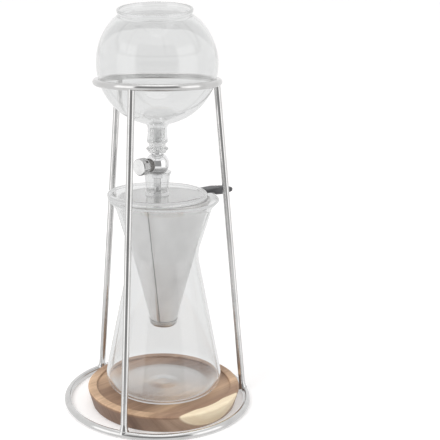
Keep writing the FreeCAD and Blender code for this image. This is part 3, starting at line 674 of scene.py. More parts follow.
@dataclass(frozen=True)
class Turned(Finish):
    """Metal with the rings that a lathe tool leaves round an axis, with painted shade on its
    knurled side.
    """

    colour: Colour = (0.7, 0.7, 0.7)
    polish: Polish = Polish.SATIN
    height: float = 0.0
    azimuth: float = 0.0
    pitch: float = 0.22
    side_r: float = 1000.0
    side_soft: float = 0.3
    knurl_shade: float = 0.66

    def fill(self, graph: Graph) -> None:
        """Rings round a level axis: the axis becomes Z of the mapped place.

        Args:
            graph: The node tree.
        """
        rough, spread, marks = self.polish.value
        rotation = UP.rotation_difference(outward(self.azimuth)).to_euler()
        middle = (0.0, 0.0, self.height * MM)
        x, y, z = graph.parts(graph.place(middle, tuple(rotation), kind="TEXTURE"))
        distance = (x * x + y * y) ** 0.5
        wander = graph.noise(graph.place(), 400, 3, 0.6)
        rings = ((distance + z) * (2 * math.pi / (self.pitch * MM)) + wander * 3).sine()
        smears = graph.noise(graph.place(), 90, 4, 0.5).between(0.4, 0.7)
        face = graph.blend(smears, self.colour, shade(self.colour, 0.86))
        # painted shade: the colour is darkened on the knurled side, outside side_r
        side = distance.between((self.side_r - self.side_soft) * MM, self.side_r * MM)
        graph.surface({
            "Base Color": graph.blend(side, face, shade(self.colour, self.knurl_shade)),
            "Metallic": 1.0,
            "Roughness": rough + rings * (spread * 0.25) + smears * (spread * 0.4),
            "Normal": graph.bump(rings, marks * MM, 0.5)})


@dataclass(frozen=True)
class Glass(Finish):
    """Clear glass or plastic, a little wavy, with a trace of dried water."""

    tint: Colour = (0.972, 0.975, 0.974)
    ior: float = 1.47
    wave: float = 0.02
    wave_size: float = 14.0
    haze: float = 0.012
    painted_glow_strength: float = 0.64
    trapped_from: float = 2.5
    heel: Pair = (0.0, 1.0)
    painted_heel_gleam: float = 0.0

    def fill(self, graph: Graph) -> None:
        """Refracting body with a slow wave in its surface; a painted glow keeps its edges pale
        where light is trapped in them.

        Args:
            graph: The node tree.
        """
        wave = graph.noise(graph.place(scale=(1, 1, 0.6)), self.wave_size, 1, 0.4)
        drops = graph.noise(graph.place(), 260, 3, 0.55).between(0.66, 0.8)
        body = graph.shader("ShaderNodeBsdfPrincipled", {
            "Base Color": graph.blend(drops, self.tint, shade(self.tint, 0.985)),
            "Roughness": drops * self.haze,
            "IOR": self.ior,
            "Transmission Weight": 1.0,
            "Normal": graph.bump(wave, self.wave * MM * 10, 0.5)})
        # painted light: after trapped_from glossy bounces the glass shows an even emission glow
        # instead of its own shading
        glow = graph.shader("ShaderNodeEmission", {
            "Color": (*self.tint, 1.0), "Strength": self.painted_glow_strength})
        bounces = graph.value("ShaderNodeLightPath", "Glossy Depth")
        pale = bounces.apply("GREATER_THAN", self.trapped_from)
        # painted highlight: an emission line along the heel where it is seen edge on
        if self.painted_heel_gleam:
            pale = pale.apply("MAXIMUM", self.painted_heel_line(graph) * self.painted_heel_gleam)
        graph.show_mix(pale, body, glow)

    def painted_heel_line(self, graph: Graph) -> Signal:
        """A painted highlight: the line of light that thick glass shows along its heel, seen edge
        on.

        Args:
            graph: The node tree.

        Returns:
            1 in the line and 0 off it.
        """
        low, high = self.heel
        _, _, z = graph.parts(graph.place())
        edge_on = graph.value("ShaderNodeLayerWeight", "Facing").between(0.4, 0.75)
        return edge_on * z.within((low - 0.2, low, (low + high) / 2, high), MM)


@dataclass(frozen=True)
class ClearSilicone(Finish):
    """Milky clear silicone rubber."""

    colour: Colour = (0.985, 0.988, 0.985)

    def fill(self, graph: Graph) -> None:
        """Cloudy body with a soft, slightly uneven skin.

        Args:
            graph: The node tree.
        """
        cloud = graph.noise(graph.place(), 180, 4, 0.55)
        skin = graph.noise(graph.place(), 1500, 2, 0.5)
        graph.surface({
            "Base Color": graph.blend(cloud, shade(self.colour, 0.94), self.colour),
            "Roughness": 0.2 + cloud * 0.12,
            "IOR": 1.41,
            "Transmission Weight": 0.9,
            "Normal": graph.bump(skin, 0.01 * MM, 0.5)})


@dataclass(frozen=True)
class Moulded(Finish):
    """Moulded rubber or plastic with a fine matt skin and a little dust."""

    colour: Colour = (0.03, 0.03, 0.032)
    rough: float = 0.5
    skin: float = 0.03
    dust: float = 0.25

    def fill(self, graph: Graph) -> None:
        """Matt skin, lighter where dust and handling have dulled it.

        Args:
            graph: The node tree.
        """
        pores = graph.noise(graph.place(), 2600, 3, 0.6)
        cloud = graph.noise(graph.place(), 130, 5, 0.6).between(0.45, 0.75)
        dusty = tuple(part + (0.32 - part) * self.dust for part in self.colour)
        graph.surface({
            "Base Color": graph.blend(cloud * 0.5 + pores * 0.2, self.colour, dusty),
            "Roughness": self.rough + cloud * 0.12 + (pores - 0.5) * 0.1,
            "Normal": graph.bump(pores, self.skin * MM, 0.7)})


@dataclass(frozen=True)
class EtchedSteel(Finish):
    """Stainless sheet etched with rows of fine holes round an upright axis."""

    axis: Point = (0.0, 0.0)
    colour: Colour = (0.88, 0.875, 0.87)
    pitch: float = 0.75
    around: int = 210
    crease_azimuth: float = 0.0
    crease_off: float = 1.35
    crease_w: float = 0.2

    def fill(self, graph: Graph) -> None:
        """Rows of holes by angle and height, brushed between them, with a painted shadow along one
        edge of the seam.

        Args:
            graph: The node tree.
        """
        x, y, z = graph.from_axis(self.axis)
        angle = graph.maths("ARCTAN2", y, x)
        across = (angle * self.around).sine()
        along = (z * (2 * math.pi / (self.pitch * MM))).sine()
        holes = (across * along).between(0.3, 0.75)
        brushed = graph.noise(graph.together(x, y, z * 0.08), 1400, 3, 0.6)
        smears = graph.noise(graph.place(), 45, 5, 0.55).between(0.4, 0.7)
        plain = graph.blend(smears, self.colour, shade(self.colour, 0.93))
        plain = graph.blend(holes * 0.3, plain, shade(self.colour, 0.6))
        # painted shadow: a dark line along one edge of the seam, where the strip meets the cone
        out = outward(self.crease_azimuth)
        aside = abs(x * -out.y + y * out.x - self.crease_off * MM)
        crease_shadow = aside.between(2 * self.crease_w * MM, self.crease_w * MM)
        crease_shadow = crease_shadow * (x * out.x + y * out.y).between(0, MM)
        graph.surface({
            "Base Color": graph.blend(crease_shadow * 0.6, plain, shade(self.colour, 0.12)),
            "Metallic": 0.8,
            "Roughness": 0.36 + (brushed - 0.5) * 0.2 + smears * 0.06,
            "Normal": graph.bump(brushed * 0.3 - holes, 0.02 * MM, 0.6)})


@dataclass(frozen=True)
class OiledWalnut(Finish):
    """Walnut board with an edge of pale sapwood and a thin oil finish."""

    axis: Point = (0.0, 0.0)
    top: float = 17.0
    grain_turn: float = 41.1
    sapwood_from: float = 68.2
    sap_soft: float = 0.9
    sap_curve: float = 0.026
    slant: float = 0.33
    end_depth: float = 1.6
    painted_light_depth: Pair = (3.4, 2.3)
    streak: Pair = (50.0, 66.0)
    shaded_back: float = 45.0
    heart_light: Colour = (0.58, 0.41, 0.295)
    heart_dark: Colour = (0.345, 0.225, 0.155)
    sap_light: Colour = (1.0, 0.88, 0.65)
    sap_dark: Colour = (0.86, 0.69, 0.48)
    streak_and_shade_tone: Colour = (0.72, 0.645, 0.59)
    painted_top_light: Colour = (1.32, 1.28, 1.14)
    pore: Colour = (0.13, 0.08, 0.055)
    end_tone: Colour = (0.52, 0.47, 0.46)

    def fill(self, graph: Graph) -> None:
        """Growth rings, fibres and pores along the board, in a frame turned to its grain; painted
        light on its top, painted shade towards its back.

        Args:
            graph: The node tree.
        """
        along, left, up = graph.parts(graph.place(turned=(0, 0, -math.radians(self.grain_turn))))
        drift = graph.noise(graph.together(along * 0.3, left, up), 22, 2, 0.5) - 0.5
        depth = left * -1.0 + up * self.slant + drift * 0.007
        bands = graph.noise(graph.together(along * 0.04, depth, 0.0), 150, 2, 0.45)
        lines = graph.noise(graph.together(along * 0.03, depth, 0.3), 620, 2, 0.5)
        fibre = graph.noise(graph.together(along * 0.06, left, up), 1100, 3, 0.6)
        cloud = graph.noise(graph.place(), 28, 3, 0.5)
        pores = graph.noise(graph.together(along * 0.1, left, up), 2200, 2, 0.5).between(0.62, 0.74)
        tone = bands * 0.62 + lines * 0.3 + fibre * 0.22 + cloud * 0.3 - 0.22
        heart = graph.blend(tone.between(0.25, 0.75), self.heart_dark, self.heart_light)
        sap = graph.blend(tone.between(0.25, 0.75), self.sap_dark, self.sap_light)
        under = up - self.top * MM
        edge = (left * -1.0 - under * under * (self.sap_curve / MM) + drift * 0.003).between(
            (self.sapwood_from - self.sap_soft) * MM, (self.sapwood_from + self.sap_soft) * MM)
        wood = graph.blend(edge, heart, sap)
        wood = graph.blend(pores * 0.3 * (1 - edge * 0.7), wood, self.pore)
        x, y, z = graph.from_axis(self.axis)
        grain = math.radians(self.grain_turn)
        across_grain = (x * math.cos(grain) + y * math.sin(grain)) / ((x * x + y * y) ** 0.5 + MM)
        side = z.between(self.top * MM, (self.top - self.end_depth) * MM)
        end_grain = across_grain * across_grain * side
        wood = graph.toned(end_grain.between(0.1, 0.9), wood, self.end_tone)
        # painted light: the top face and the upper band of the side are lightened, fading out over
        # the given depths below the top
        face = z.between(*((self.top - below) * MM for below in self.painted_light_depth))
        darker = depth.between(*(limit * MM for limit in self.streak))
        # painted shade: towards the back the top is darkened, with the same tone as the grain
        # streak near the sapwood
        darker = darker.apply("MAXIMUM", y.between(0, self.shaded_back * MM))
        tone = graph.blend(darker, self.painted_top_light, self.streak_and_shade_tone)
        wood = graph.toned(face * (1 - edge), wood, tone)
        graph.surface({
            "Base Color": wood,
            "Roughness": 0.5 + fibre * 0.16 + pores * 0.1,
            "Coat Weight": 0.1,
            "Coat Roughness": 0.4,
            "Normal": graph.bump(fibre * 0.4 - pores, 0.04 * MM, 0.4)})


# ---------------------------------------------------------------- placing the pieces
def dress(piece: bpy.types.Object, body: str, node: str, finish: Finish) -> None:
    """Give a piece its finish, and put it on its body in place of its node.

    Args:
        piece: The finished mesh.
        body: The body that it rides on.
        node: The node that it stands for.
        finish: The finish.
    """
    piece.data.materials.clear()
    piece.data.materials.append(finish.material())
    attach(piece, body)
    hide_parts(node)
    log.info("%s: %d faces on %s", piece.name, len(piece.data.polygons), body)


def clear_of_lamps(piece: bpy.types.Object) -> bpy.types.Object:
    """Let light through a clear piece onto what stands inside it; gives the piece back."""
    piece.visible_shadow = False
    return piece


def paint_node(node: str, finish: Finish) -> None:
    """Give a node that keeps its own mesh a finish.

    Args:
        node: Name of the node.
        finish: The finish.
    """
    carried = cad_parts[node]
    carried.data.materials.clear()
    carried.data.materials.append(finish.material())
    log.info("%s: carried over", node)


def height_range(node: str) -> tuple[float, float]:
    """Lowest and highest height of a node, in millimetres."""
    low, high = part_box(node)
    return low[2] / MM, high[2] / MM


# ---------------------------------------------------------------- wire stand
@dataclass
class WireStand:
    """Two wire rings and three legs, welded together."""

    wire_r: float = 3.0
    leg_azimuths: tuple[tuple[str, float, float], ...] = (
        ("front_leg", -20.4, -23.6), ("right_leg", 98.6, 99.4), ("rear_leg", -137.4, -137.6))
    foot_inset: float = 1.5
    head_inset: float = 0.5
    head_below: float = 2.6
    flare_r: float = 4.7
    flare_from: float = 1.5
    flare_h: float = 8.5
    flare_curve: float = 2.2
    flare_rows: int = 14
    weld_ripple: float = 0.12
    ripples: int = 5
    butt_azimuth: float = 158.0
    butt_reach: float = 3.4
    butt_squeeze: Triple = (0.99, 0.99, 0.97)

    def ring_size(self, node: str) -> tuple[float, float]:
        """Radius and height of a ring's middle line, in millimetres."""
        low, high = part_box(node)
        return (high[0] - low[0]) / 2 / MM - self.wire_r, (high[2] + low[2]) / 2 / MM

    def ring(self, name: str, node: str) -> bpy.types.Object:
        """A closed wire ring with the ground-down butt weld that closes it.

        Args:
            name: Name of the piece.
            node: The ring's node.

        Returns:
            The ring.
        """
        radius, height = self.ring_size(node)
        bpy.ops.mesh.primitive_torus_add(
            location=(0, 0, height * MM), major_radius=radius * MM, minor_radius=self.wire_r * MM,
            major_segments=240, minor_segments=28)
        piece = just_added(name)
        butt = outward(self.butt_azimuth) * radius * MM
        reach = self.butt_reach * MM
        with editing(piece):
            pick(piece, lambda point: (Vector((*point.co.xy, 0)) - butt).length < reach)
            bpy.ops.transform.resize(
                value=self.butt_squeeze, center_override=tuple(butt + UP * height * MM))
        finish_mesh(piece, 60)
        return piece

    def leg(self, name: str, foot_azimuth: float, head_azimuth: float) -> bpy.types.Object:
        """A straight wire leg with its weld at the foot and a rounded head.

        Args:
            name: Name of the piece.
            foot_azimuth: Where it stands on the lower ring.
            head_azimuth: Where it meets the upper ring.

        Returns:
            The leg.
        """
        base_r, base_z = self.ring_size("base_ring")
        top_r, top_z = self.ring_size("top_ring")
        foot = (outward(foot_azimuth) * (base_r - self.foot_inset) + UP * base_z) * MM
        head = outward(head_azimuth) * (top_r - self.head_inset) * MM
        head += UP * (top_z - self.head_below) * MM
        length = (head - foot).length / MM
        rows = [(0.0, 0.0), (self.flare_r, 0.0)]
        for index in range(self.flare_rows + 1):
            share = index / self.flare_rows
            height = self.flare_from + (self.flare_h - self.flare_from) * share
            radius = self.wire_r + (self.flare_r - self.wire_r) * (1 - share) ** self.flare_curve
            radius += self.weld_ripple * (1 - share) * math.sin(share * self.ripples * math.pi)
            rows.append((radius, height))
        rows += [(self.wire_r, height) for height in (self.flare_h + 1, length / 2, length - 0.5)]
        rows += arc((0, length), self.wire_r, 0, 90, 10)
        piece = turn(name, rows, closed=False, steps=32)
        lay(piece, foot, head - foot)
        finish_mesh(piece, 60)
        return piece

    def build(self) -> None:
        """Make the stand."""
        steel = Metal(Slot.STAND, colour=(0.66, 0.655, 0.65), polish=Polish.BRIGHT)
        for name, node in (("lower_ring", "base_ring"), ("upper_ring", "top_ring")):
            dress(self.ring(name, node), "stand", node, steel)
        for node, foot_azimuth, head_azimuth in self.leg_azimuths:
            leg = self.leg(node.replace("leg", "wire_leg"), foot_azimuth, head_azimuth)
            dress(leg, "stand", node, steel)


# ---------------------------------------------------------------- water globe and its stopper
@dataclass
class WaterGlobe:
    """Blown globe: neck below, open mouth above that faces a little forwards."""

    globe_r: float = 53.5
    wall: float = 1.9
    shoulder_r: float = 35.0
    shoulder_start: float = 46.9
    lean: float = 9.24
    lean_from: float = -24.0
    lean_to: float = 30.0
    mouth_azimuth: float = -4.5
    mouth_shift: float = -1.44
    shift_from: float = 5.0
    shift_to: float = 48.0
    lean_steps: int = 27
    throat_blend: float = 2.0
    lip: tuple[Corner, ...] = (
        (31.3, 43.1, 2.2), (33.0, 45.6, 1.4), (32.7, 48.0, 0.9), (30.9, 47.9, 0.8),
        (29.25, 42.2, 2.6))
    neck_r: float = 8.6
    neck_blend_r: float = 5.0
    neck_l: float = 15.95
    neck_lip_r: float = 9.3
    neck_lip_h: float = 3.0
    neck_taper_h: float = 5.0
    neck_lip_round: float = 1.2
    plug_bore_r: float = 3.65
    plug_foot_r: float = 8.0
    plug_top_r: float = 8.35
    plug_waist_r: float = 7.35
    plug_taper: float = 0.25
    flange_r: float = 9.75
    flange_from: float = 2.2
    flange_to: float = 4.5

    @property
    def neck_end(self) -> float:
        """Height of the neck's end."""
        return height_range("water_globe")[0]

    @property
    def centre(self) -> float:
        """Height of the globe's middle."""
        return self.neck_end + self.neck_l + self.globe_r

    def wall_line(self, inset: float) -> list[Point]:
        """One side of the glass from the neck up to the mouth, inset from the outside.

        Args:
            inset: 0 for the outside, the wall's thickness for the inside.

        Returns:
            The points from the neck's end up to the mouth.
        """
        radius = self.globe_r - inset
        blend_r = self.neck_blend_r + inset
        blend_at = self.neck_r + self.neck_blend_r
        blend_z = self.centre - math.sqrt((self.globe_r + self.neck_blend_r) ** 2 - blend_at ** 2)
        tangent = math.degrees(math.atan2(self.centre - blend_z, -blend_at))
        if inset:
            line = [(self.neck_r - inset, height) for height in (self.neck_end + 1, blend_z - 1)]
        else:
            lip_end = self.neck_end + self.neck_lip_h
            line = rounded([
                (self.neck_lip_r - 0.9, self.neck_end, 0),
                (self.neck_lip_r, self.neck_end, self.neck_lip_round / 1.4),
                (self.neck_lip_r, lip_end, 1.5), (self.neck_r, lip_end + self.neck_taper_h, 2.5),
                (self.neck_r, blend_z - 0.5, 0)])
        line += arc((blend_at, blend_z), blend_r, 180, tangent, 7)
        line += arc((0, self.centre), radius, tangent - 180, 90 - self.shoulder_start, 3)[1:]
        start = math.radians(self.shoulder_start)
        hub_r = (self.globe_r - self.shoulder_r) * math.sin(start)
        hub_z = (self.globe_r - self.shoulder_r) * math.cos(start)
        shoulder_r = self.shoulder_r - inset
        stop_r = self.lip[0][0] + self.throat_blend - inset
        last = math.degrees(math.acos((stop_r - hub_r) / shoulder_r))
        line += arc((hub_r, self.centre + hub_z), shoulder_r, 90 - self.shoulder_start, last, 4)[1:]
        return line

    def lip_line(self, start: Point, end: Point) -> list[Point]:
        """The flared, melted lip, from the outside of the shoulder over the top to its inside.

        Args:
            start: Where the outside of the shoulder ends.
            end: Where the inside of the shoulder ends.

        Returns:
            The points between them.
        """
        corners = raised(self.lip, self.centre)
        return rounded([(*start, 0.0), *corners, (*end, 0.0)], 14)[1:-1]

    def glass(self) -> bpy.types.Object:
        """The globe: turned, then its upper rows leaned forwards little by little.

        Returns:
            The globe.
        """
        outside = self.wall_line(0)
        inside = self.wall_line(self.wall)
        lip = self.lip_line(outside[-1], inside[-1])
        piece = turn("blown_globe", outside + lip + inside[::-1], steps=180)
        middle = Vector((0, 0, self.centre * MM))
        rises = [math.degrees(math.atan2(v.co.z - middle.z, math.hypot(v.co.x, v.co.y)))
                 for v in piece.data.vertices]
        with editing(piece):
            for index in range(self.lean_steps):
                share = (index + 0.5) / self.lean_steps
                limit = self.lean_from + (self.lean_to - self.lean_from) * share
                pick(piece, lambda point, limit=limit: rises[point.index] > limit)
                bpy.ops.transform.rotate(value=-math.radians(self.lean) / self.lean_steps,
                                         orient_axis="X", center_override=tuple(middle))
                limit = self.shift_from + (self.shift_to - self.shift_from) * share
                pick(piece, lambda point, limit=limit: rises[point.index] > limit)
                bpy.ops.transform.translate(value=(self.mouth_shift / self.lean_steps * MM, 0, 0))
            bpy.ops.mesh.select_all(action="SELECT")
            bpy.ops.transform.rotate(value=-math.radians(self.mouth_azimuth), orient_axis="Z",
                                     center_override=tuple(middle))
        finish_mesh(piece, 80)
        return piece

    def stopper(self) -> bpy.types.Object:
        """The silicone stopper with its flange.

        Returns:
            The stopper.
        """
        low, high = height_range("neck_stopper")
        middle = (low + high) / 2
        flange_low, flange_high = low + self.flange_from, low + self.flange_to
        neck = self.neck_end - GAP
        plug_r = self.neck_r - self.wall - GAP
        return turn("silicone_plug", rounded([
            (self.plug_bore_r, middle, 0), (self.plug_bore_r, low, 0.3),
            (self.plug_foot_r, low, 0.6), (self.plug_top_r, flange_low, 0.4),
            (self.flange_r, flange_low, 0.9), (self.flange_r, flange_high, 0.9),
            (self.plug_waist_r, flange_high, 0.4), (self.plug_waist_r, neck, 0),
            (plug_r, neck, 0), (plug_r - self.plug_taper, high, 0.8),
            (self.plug_bore_r, high, 0.3), (self.plug_bore_r, middle + 0.1, 0)]),
            steps=96, sharp=40)

    def build(self) -> None:
        """Make the globe and its stopper."""
        glass = Glass(Slot.GLOBE, tint=(0.95, 0.953, 0.952), ior=1.6, wave=0.02, wave_size=11)
        dress(clear_of_lamps(self.glass()), "globe", "water_globe", glass)
        plug = clear_of_lamps(self.stopper())
        dress(plug, "globe", "neck_stopper", ClearSilicone(Slot.STOPPER))


# ---------------------------------------------------------------- needle tap
@dataclass
class NeedleTap:
    """Ball-shaped tap body, knurled nut, knurled knob and drip tube."""

    ball_r: float = 10.8
    stem_azimuth: float = -43.0
    spigot_r: float = 3.6
    collar_r: float = 5.2
    inlet_r: float = 1.6
    outlet_r: float = 5.0
    outlet_l: float = 1.8
    socket_h: float = 7.0
    tube_r: float = 3.3
    tube_bore_r: float = 1.9
    boss_r: float = 4.4
    boss_from: float = 4.0
    boss_in_nut: float = 2.3
    stem_bore: tuple[Point, ...] = (
        (0, 0.5), (0.9, 0.5), (0.9, 1.0), (2.22, 1.0), (2.22, 2.6), (2.5, 2.6), (2.5, 5.2),
        (3.0, 5.2))
    nut_r: float = 6.1
    nut_l: float = 5.0
    nut_wall: float = 1.1
    nut_play: float = 0.05
    nut_standoff: float = 1.0
    nut_grooves: int = 20
    nut_points: int = 8
    nut_plain: Pair = (0.3, 0.45)
    shaft_r: float = 1.9
    knob_r: float = 7.6
    knob_l: float = 8.3
    knob_standoff: float = 0.8
    knob_chamfer: float = 0.7
    knob_web: float = 2.0
    knob_grooves: int = 32
    knob_points: int = 6
    knob_soft: float = 0.15
    face_hold: float = 1.2
    knurl_depth: float = 0.4
    set_screw_at: float = 3.3
    set_screw_r: float = 1.42
    drill_l: float = 9.0

    @property
    def foot(self) -> float:
        """Height of the outlet's foot."""
        return height_range("valve_body")[0]

    @property
    def centre(self) -> float:
        """Height of the ball's middle."""
        return self.foot + self.outlet_l + self.ball_r

    @property
    def nut_start(self) -> float:
        """Distance of the nut from the ball's middle, along the stem."""
        return math.sqrt(self.ball_r ** 2 - self.nut_r ** 2) + self.nut_standoff

    def on_stem(self, piece: bpy.types.Object) -> bpy.types.Object:
        """Lay a piece onto the stem's axis; gives it back."""
        lay(piece, Vector((0, 0, self.centre * MM)), outward(self.stem_azimuth))
        return piece

    def body(self) -> bpy.types.Object:
        """The ball with its collars, waterways and side boss.

        Returns:
            The tap's body.
        """
        top = height_range("valve_body")[1]
        collar_top = height_range("neck_stopper")[0] - GAP
        from_top = math.degrees(math.acos(self.collar_r / self.ball_r))
        to_foot = -math.degrees(math.acos(self.outlet_r / self.ball_r))
        collar_foot, outlet_top = (self.centre + self.ball_r * math.sin(math.radians(rise))
                                   for rise in (from_top, to_foot))
        inlet_end, socket_end = self.centre - self.inlet_r, self.foot + self.socket_h
        socket_r = self.tube_r + GAP
        outline = rounded([
            (0, inlet_end, 0), (self.inlet_r, inlet_end, 0), (self.inlet_r, top, 0.2),
            (self.spigot_r, top, 0.5), (self.spigot_r, collar_top, 0),
            (self.collar_r, collar_top, 0), (self.collar_r, collar_foot, 0)])
        outline += arc((0, self.centre), self.ball_r, from_top, to_foot, 4)[1:]
        outline += rounded([
            (self.outlet_r, outlet_top - 0.1, 0), (self.outlet_r, self.foot, 0.5),
            (socket_r, self.foot, 0.2), (socket_r, socket_end, 0), (0, socket_end, 0)])
        piece = turn("tap_ball", outline, closed=False, steps=96)
        boss_end = self.nut_start + self.boss_in_nut
        boss = turn("boss", rounded([
            (0, self.boss_from, 0), (self.boss_r, self.boss_from, 0), (self.boss_r, boss_end, 0.3),
            (0, boss_end, 0)]), closed=False, steps=64)
        carve(piece, self.on_stem(boss), "UNION")
        mouth_r = self.stem_bore[-1][0]
        bore = turn("bore", [*self.stem_bore, (mouth_r, boss_end + 1), (0, boss_end + 1)],
                    closed=False, steps=48)
        carve(piece, self.on_stem(bore))
        finish_mesh(piece, 32)
        return piece

    def nut(self) -> bpy.types.Object:
        """The dark knurled nut.

        Returns:
            The nut.
        """
        start, end = self.nut_start, self.nut_start + self.nut_l
        hole, mouth, web = self.shaft_r + self.nut_play, self.boss_r + GAP, end - self.nut_wall
        piece = turn("knurled_nut", rounded([
            (hole, web, 0), (mouth, web, 0), (mouth, start, 0.25), (self.nut_r, start, 0.35),
            (self.nut_r, end, 0.5), (hole, end, 0.25)]), steps=self.nut_grooves * self.nut_points)
        knurl(piece, self.nut_grooves, self.nut_points, self.nut_r, self.knurl_depth,
              start + self.nut_plain[0], end - self.nut_plain[1])
        self.on_stem(piece)
        finish_mesh(piece, 24)
        return piece

    def knob(self) -> bpy.types.Object:
        """The round knob: knurled side, chamfered plain face, set screw's hole.

        Returns:
            The knob.
        """
        back = self.nut_start + self.nut_l + self.knob_standoff
        face = back + self.knob_l
        low, high, web = back + self.knob_chamfer, face - self.knob_chamfer, face - self.knob_web
        bore = self.shaft_r + GAP
        rim = self.knob_r - self.knob_chamfer
        outline = rounded([
            (bore, back + 0.3, 0), (bore, back, 0.2), (rim, back, self.knob_soft),
            (self.knob_r, low, self.knob_soft), (self.knob_r, high, self.knob_soft),
            (rim, face, self.knob_soft), (rim - self.face_hold, face, 0), (0, face, 0)])
        piece = turn("knurled_knob", outline + [(0, web), (bore, web)],
                     steps=self.knob_grooves * self.knob_points)
        knurl(piece, self.knob_grooves, self.knob_points, self.knob_r, self.knurl_depth, low, high)
        drill = turn("drill", [(0, 0), (self.set_screw_r, 0), (self.set_screw_r, self.drill_l),
                               (0, self.drill_l)], closed=False, steps=32)
        lay(drill, Vector((0, 0, (back + self.set_screw_at) * MM)), Vector((1, 0, 0)))
        carve(piece, drill)
        self.on_stem(piece)
        finish_mesh(piece, 24)
        return piece

    def tube(self) -> bpy.types.Object:
        """The drip tube.

        Returns:
            The tube.
        """
        low, high = height_range("drip_tube")
        return turn("drip_pipe", rounded([
            (self.tube_bore_r, high - 1, 0), (self.tube_bore_r, low, 0.35),
            (self.tube_r, low, 0.5), (self.tube_r, high, 0.2), (self.tube_bore_r, high, 0.2),
            (self.tube_bore_r, high - 0.9, 0)]), steps=64, sharp=40)

    def build(self) -> None:
        """Make the tap."""
        chrome = Metal(Slot.TAP, colour=(0.9, 0.9, 0.905), polish=Polish.MIRROR, smear=140)
        dark = Metal(Slot.NUT, colour=(0.27, 0.262, 0.255), polish=Polish.SATIN, grain=1600)
        side_r = self.knob_r - self.knurl_depth - 0.2
        bright = Turned(Slot.KNOB, colour=(0.95, 0.95, 0.945), polish=Polish.BRIGHT,
                        height=self.centre, azimuth=self.stem_azimuth, side_r=side_r)
        steel = Metal(Slot.TUBE, colour=(0.8, 0.8, 0.8), polish=Polish.MIRROR, grain=1500)
        brass = Metal(Slot.SEAT, colour=(0.72, 0.5, 0.22), polish=Polish.SATIN, grain=2500)
        plastic = Moulded(Slot.GLAND, colour=(0.72, 0.71, 0.68), rough=0.38, dust=0.1)
        rubber = Moulded(Slot.SEAL, colour=(0.02, 0.02, 0.022), rough=0.42, dust=0.1)
        dress(self.body(), "tap", "valve_body", chrome)
        dress(self.nut(), "tap", "bonnet_nut", dark)
        dress(self.knob(), "knob", "valve_knob", bright)
        dress(self.tube(), "tap", "drip_tube", steel)
        for node, finish in (("seat_insert", brass), ("gland_washer", plastic),
                             ("stem_o_ring", rubber), ("needle_stem", steel),
                             ("knob_set_screw", dark)):
            paint_node(node, finish)


# ---------------------------------------------------------------- brewing set
@dataclass
class WoodBase:
    """Turned walnut base with the carafe's seat."""

    edge_round: float = 1.6
    draw_in: float = 4.8
    proud: float = 0.28
    rim_w: float = 9.0
    seat_depth: float = 2.0
    seat_edge_round: float = 0.9
    seat_foot_round: float = 1.0

    def build(self) -> None:
        """Make the base."""
        low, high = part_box("wood_base")
        axis = Vector(((low[0] + high[0]) / 2, (low[1] + high[1]) / 2, 0))
        top_r = (high[0] - low[0]) / 2 / MM + self.proud
        top = high[2] / MM
        seat_r, seat = top_r - self.rim_w, top - self.seat_depth
        piece = turn("walnut_base", rounded([
            (0, 0, 0), (top_r - self.draw_in, 0, self.edge_round), (top_r, top, self.edge_round),
            (seat_r, top, self.seat_edge_round), (seat_r, seat, self.seat_foot_round),
            (0, seat, 0)], 9), axis, closed=False, steps=216, sharp=40)
        walnut = OiledWalnut(Slot.BASE, axis=(axis.x / MM, axis.y / MM), top=top)
        dress(piece, "base", "wood_base", walnut)


@dataclass
class BrewAxis:
    """What stands on the brewing set's axis, a little beside the stand's."""

    axis_x: float = 6.0
    axis_y: float = -3.5

    @property
    def axis(self) -> Vector:
        """A point of the axis, in metres."""
        return Vector((self.axis_x * MM, self.axis_y * MM, 0))


@dataclass
class Carafe(BrewAxis):
    """Hourglass carafe with a flared lip and a shallow punt."""

    wall: float = 2.2
    punt: tuple[Corner, ...] = ((0, 1.9, 0), (7, 1.9, 5), (15, 0.9, 6), (36, 0, 30))
    foot_r: float = 57.1
    heel_round: float = 13.5
    waist_r: float = 31.0
    waist_h: float = 131.0
    waist_round: float = 35.0
    upper_angle: float = 16.59
    upper_h: float = 43.3
    throat_round: float = 9.0
    lip_w: float = 5.5
    lip_rise: float = 6.1
    gleam_from: float = 0.3
    gleam_to: float = 7.5

    @property
    def floor(self) -> float:
        """Height of the foot."""
        return height_range("carafe")[0]

    def outside(self) -> list[Corner]:
        """Corners of the outside.

        Returns:
            The corners, from the axis at the foot to the lip.
        """
        throat_r = self.waist_r + self.upper_h * math.tan(math.radians(self.upper_angle))
        throat_h = self.waist_h + self.upper_h
        corners = [
            *self.punt, (self.foot_r, 0, self.heel_round),
            (self.waist_r, self.waist_h, self.waist_round), (throat_r, throat_h, self.throat_round),
            (throat_r + self.lip_w, throat_h + self.lip_rise, 0)]
        return raised(corners, self.floor)

    def build(self) -> None:
        """Make the carafe."""
        outer = self.outside()
        inner = offset(outer, self.wall)
        (throat_r, throat_z), (lip_r, lip_z) = (corner[:2] for corner in outer[-2:])
        lean = math.degrees(math.atan2(lip_z - throat_z, lip_r - throat_r))
        lip = ((lip_r + inner[-1][0]) / 2, (lip_z + inner[-1][1]) / 2)
        line = rounded(outer, 4, 0.8) + arc(lip, self.wall / 2, lean - 90, lean + 90, 18)[1:-1]
        line += rounded(inner, 4, 0.8)[::-1]
        piece = turn("waisted_carafe", line, self.axis, closed=False, steps=180, sharp=80)
        # painted highlight along the heel, from gleam_from to gleam_to above the foot
        glass = Glass(Slot.CARAFE, wave=0.014, wave_size=16, painted_heel_gleam=0.88,
                      heel=(self.floor + self.gleam_from, self.floor + self.gleam_to))
        dress(clear_of_lamps(piece), "carafe", "carafe", glass)


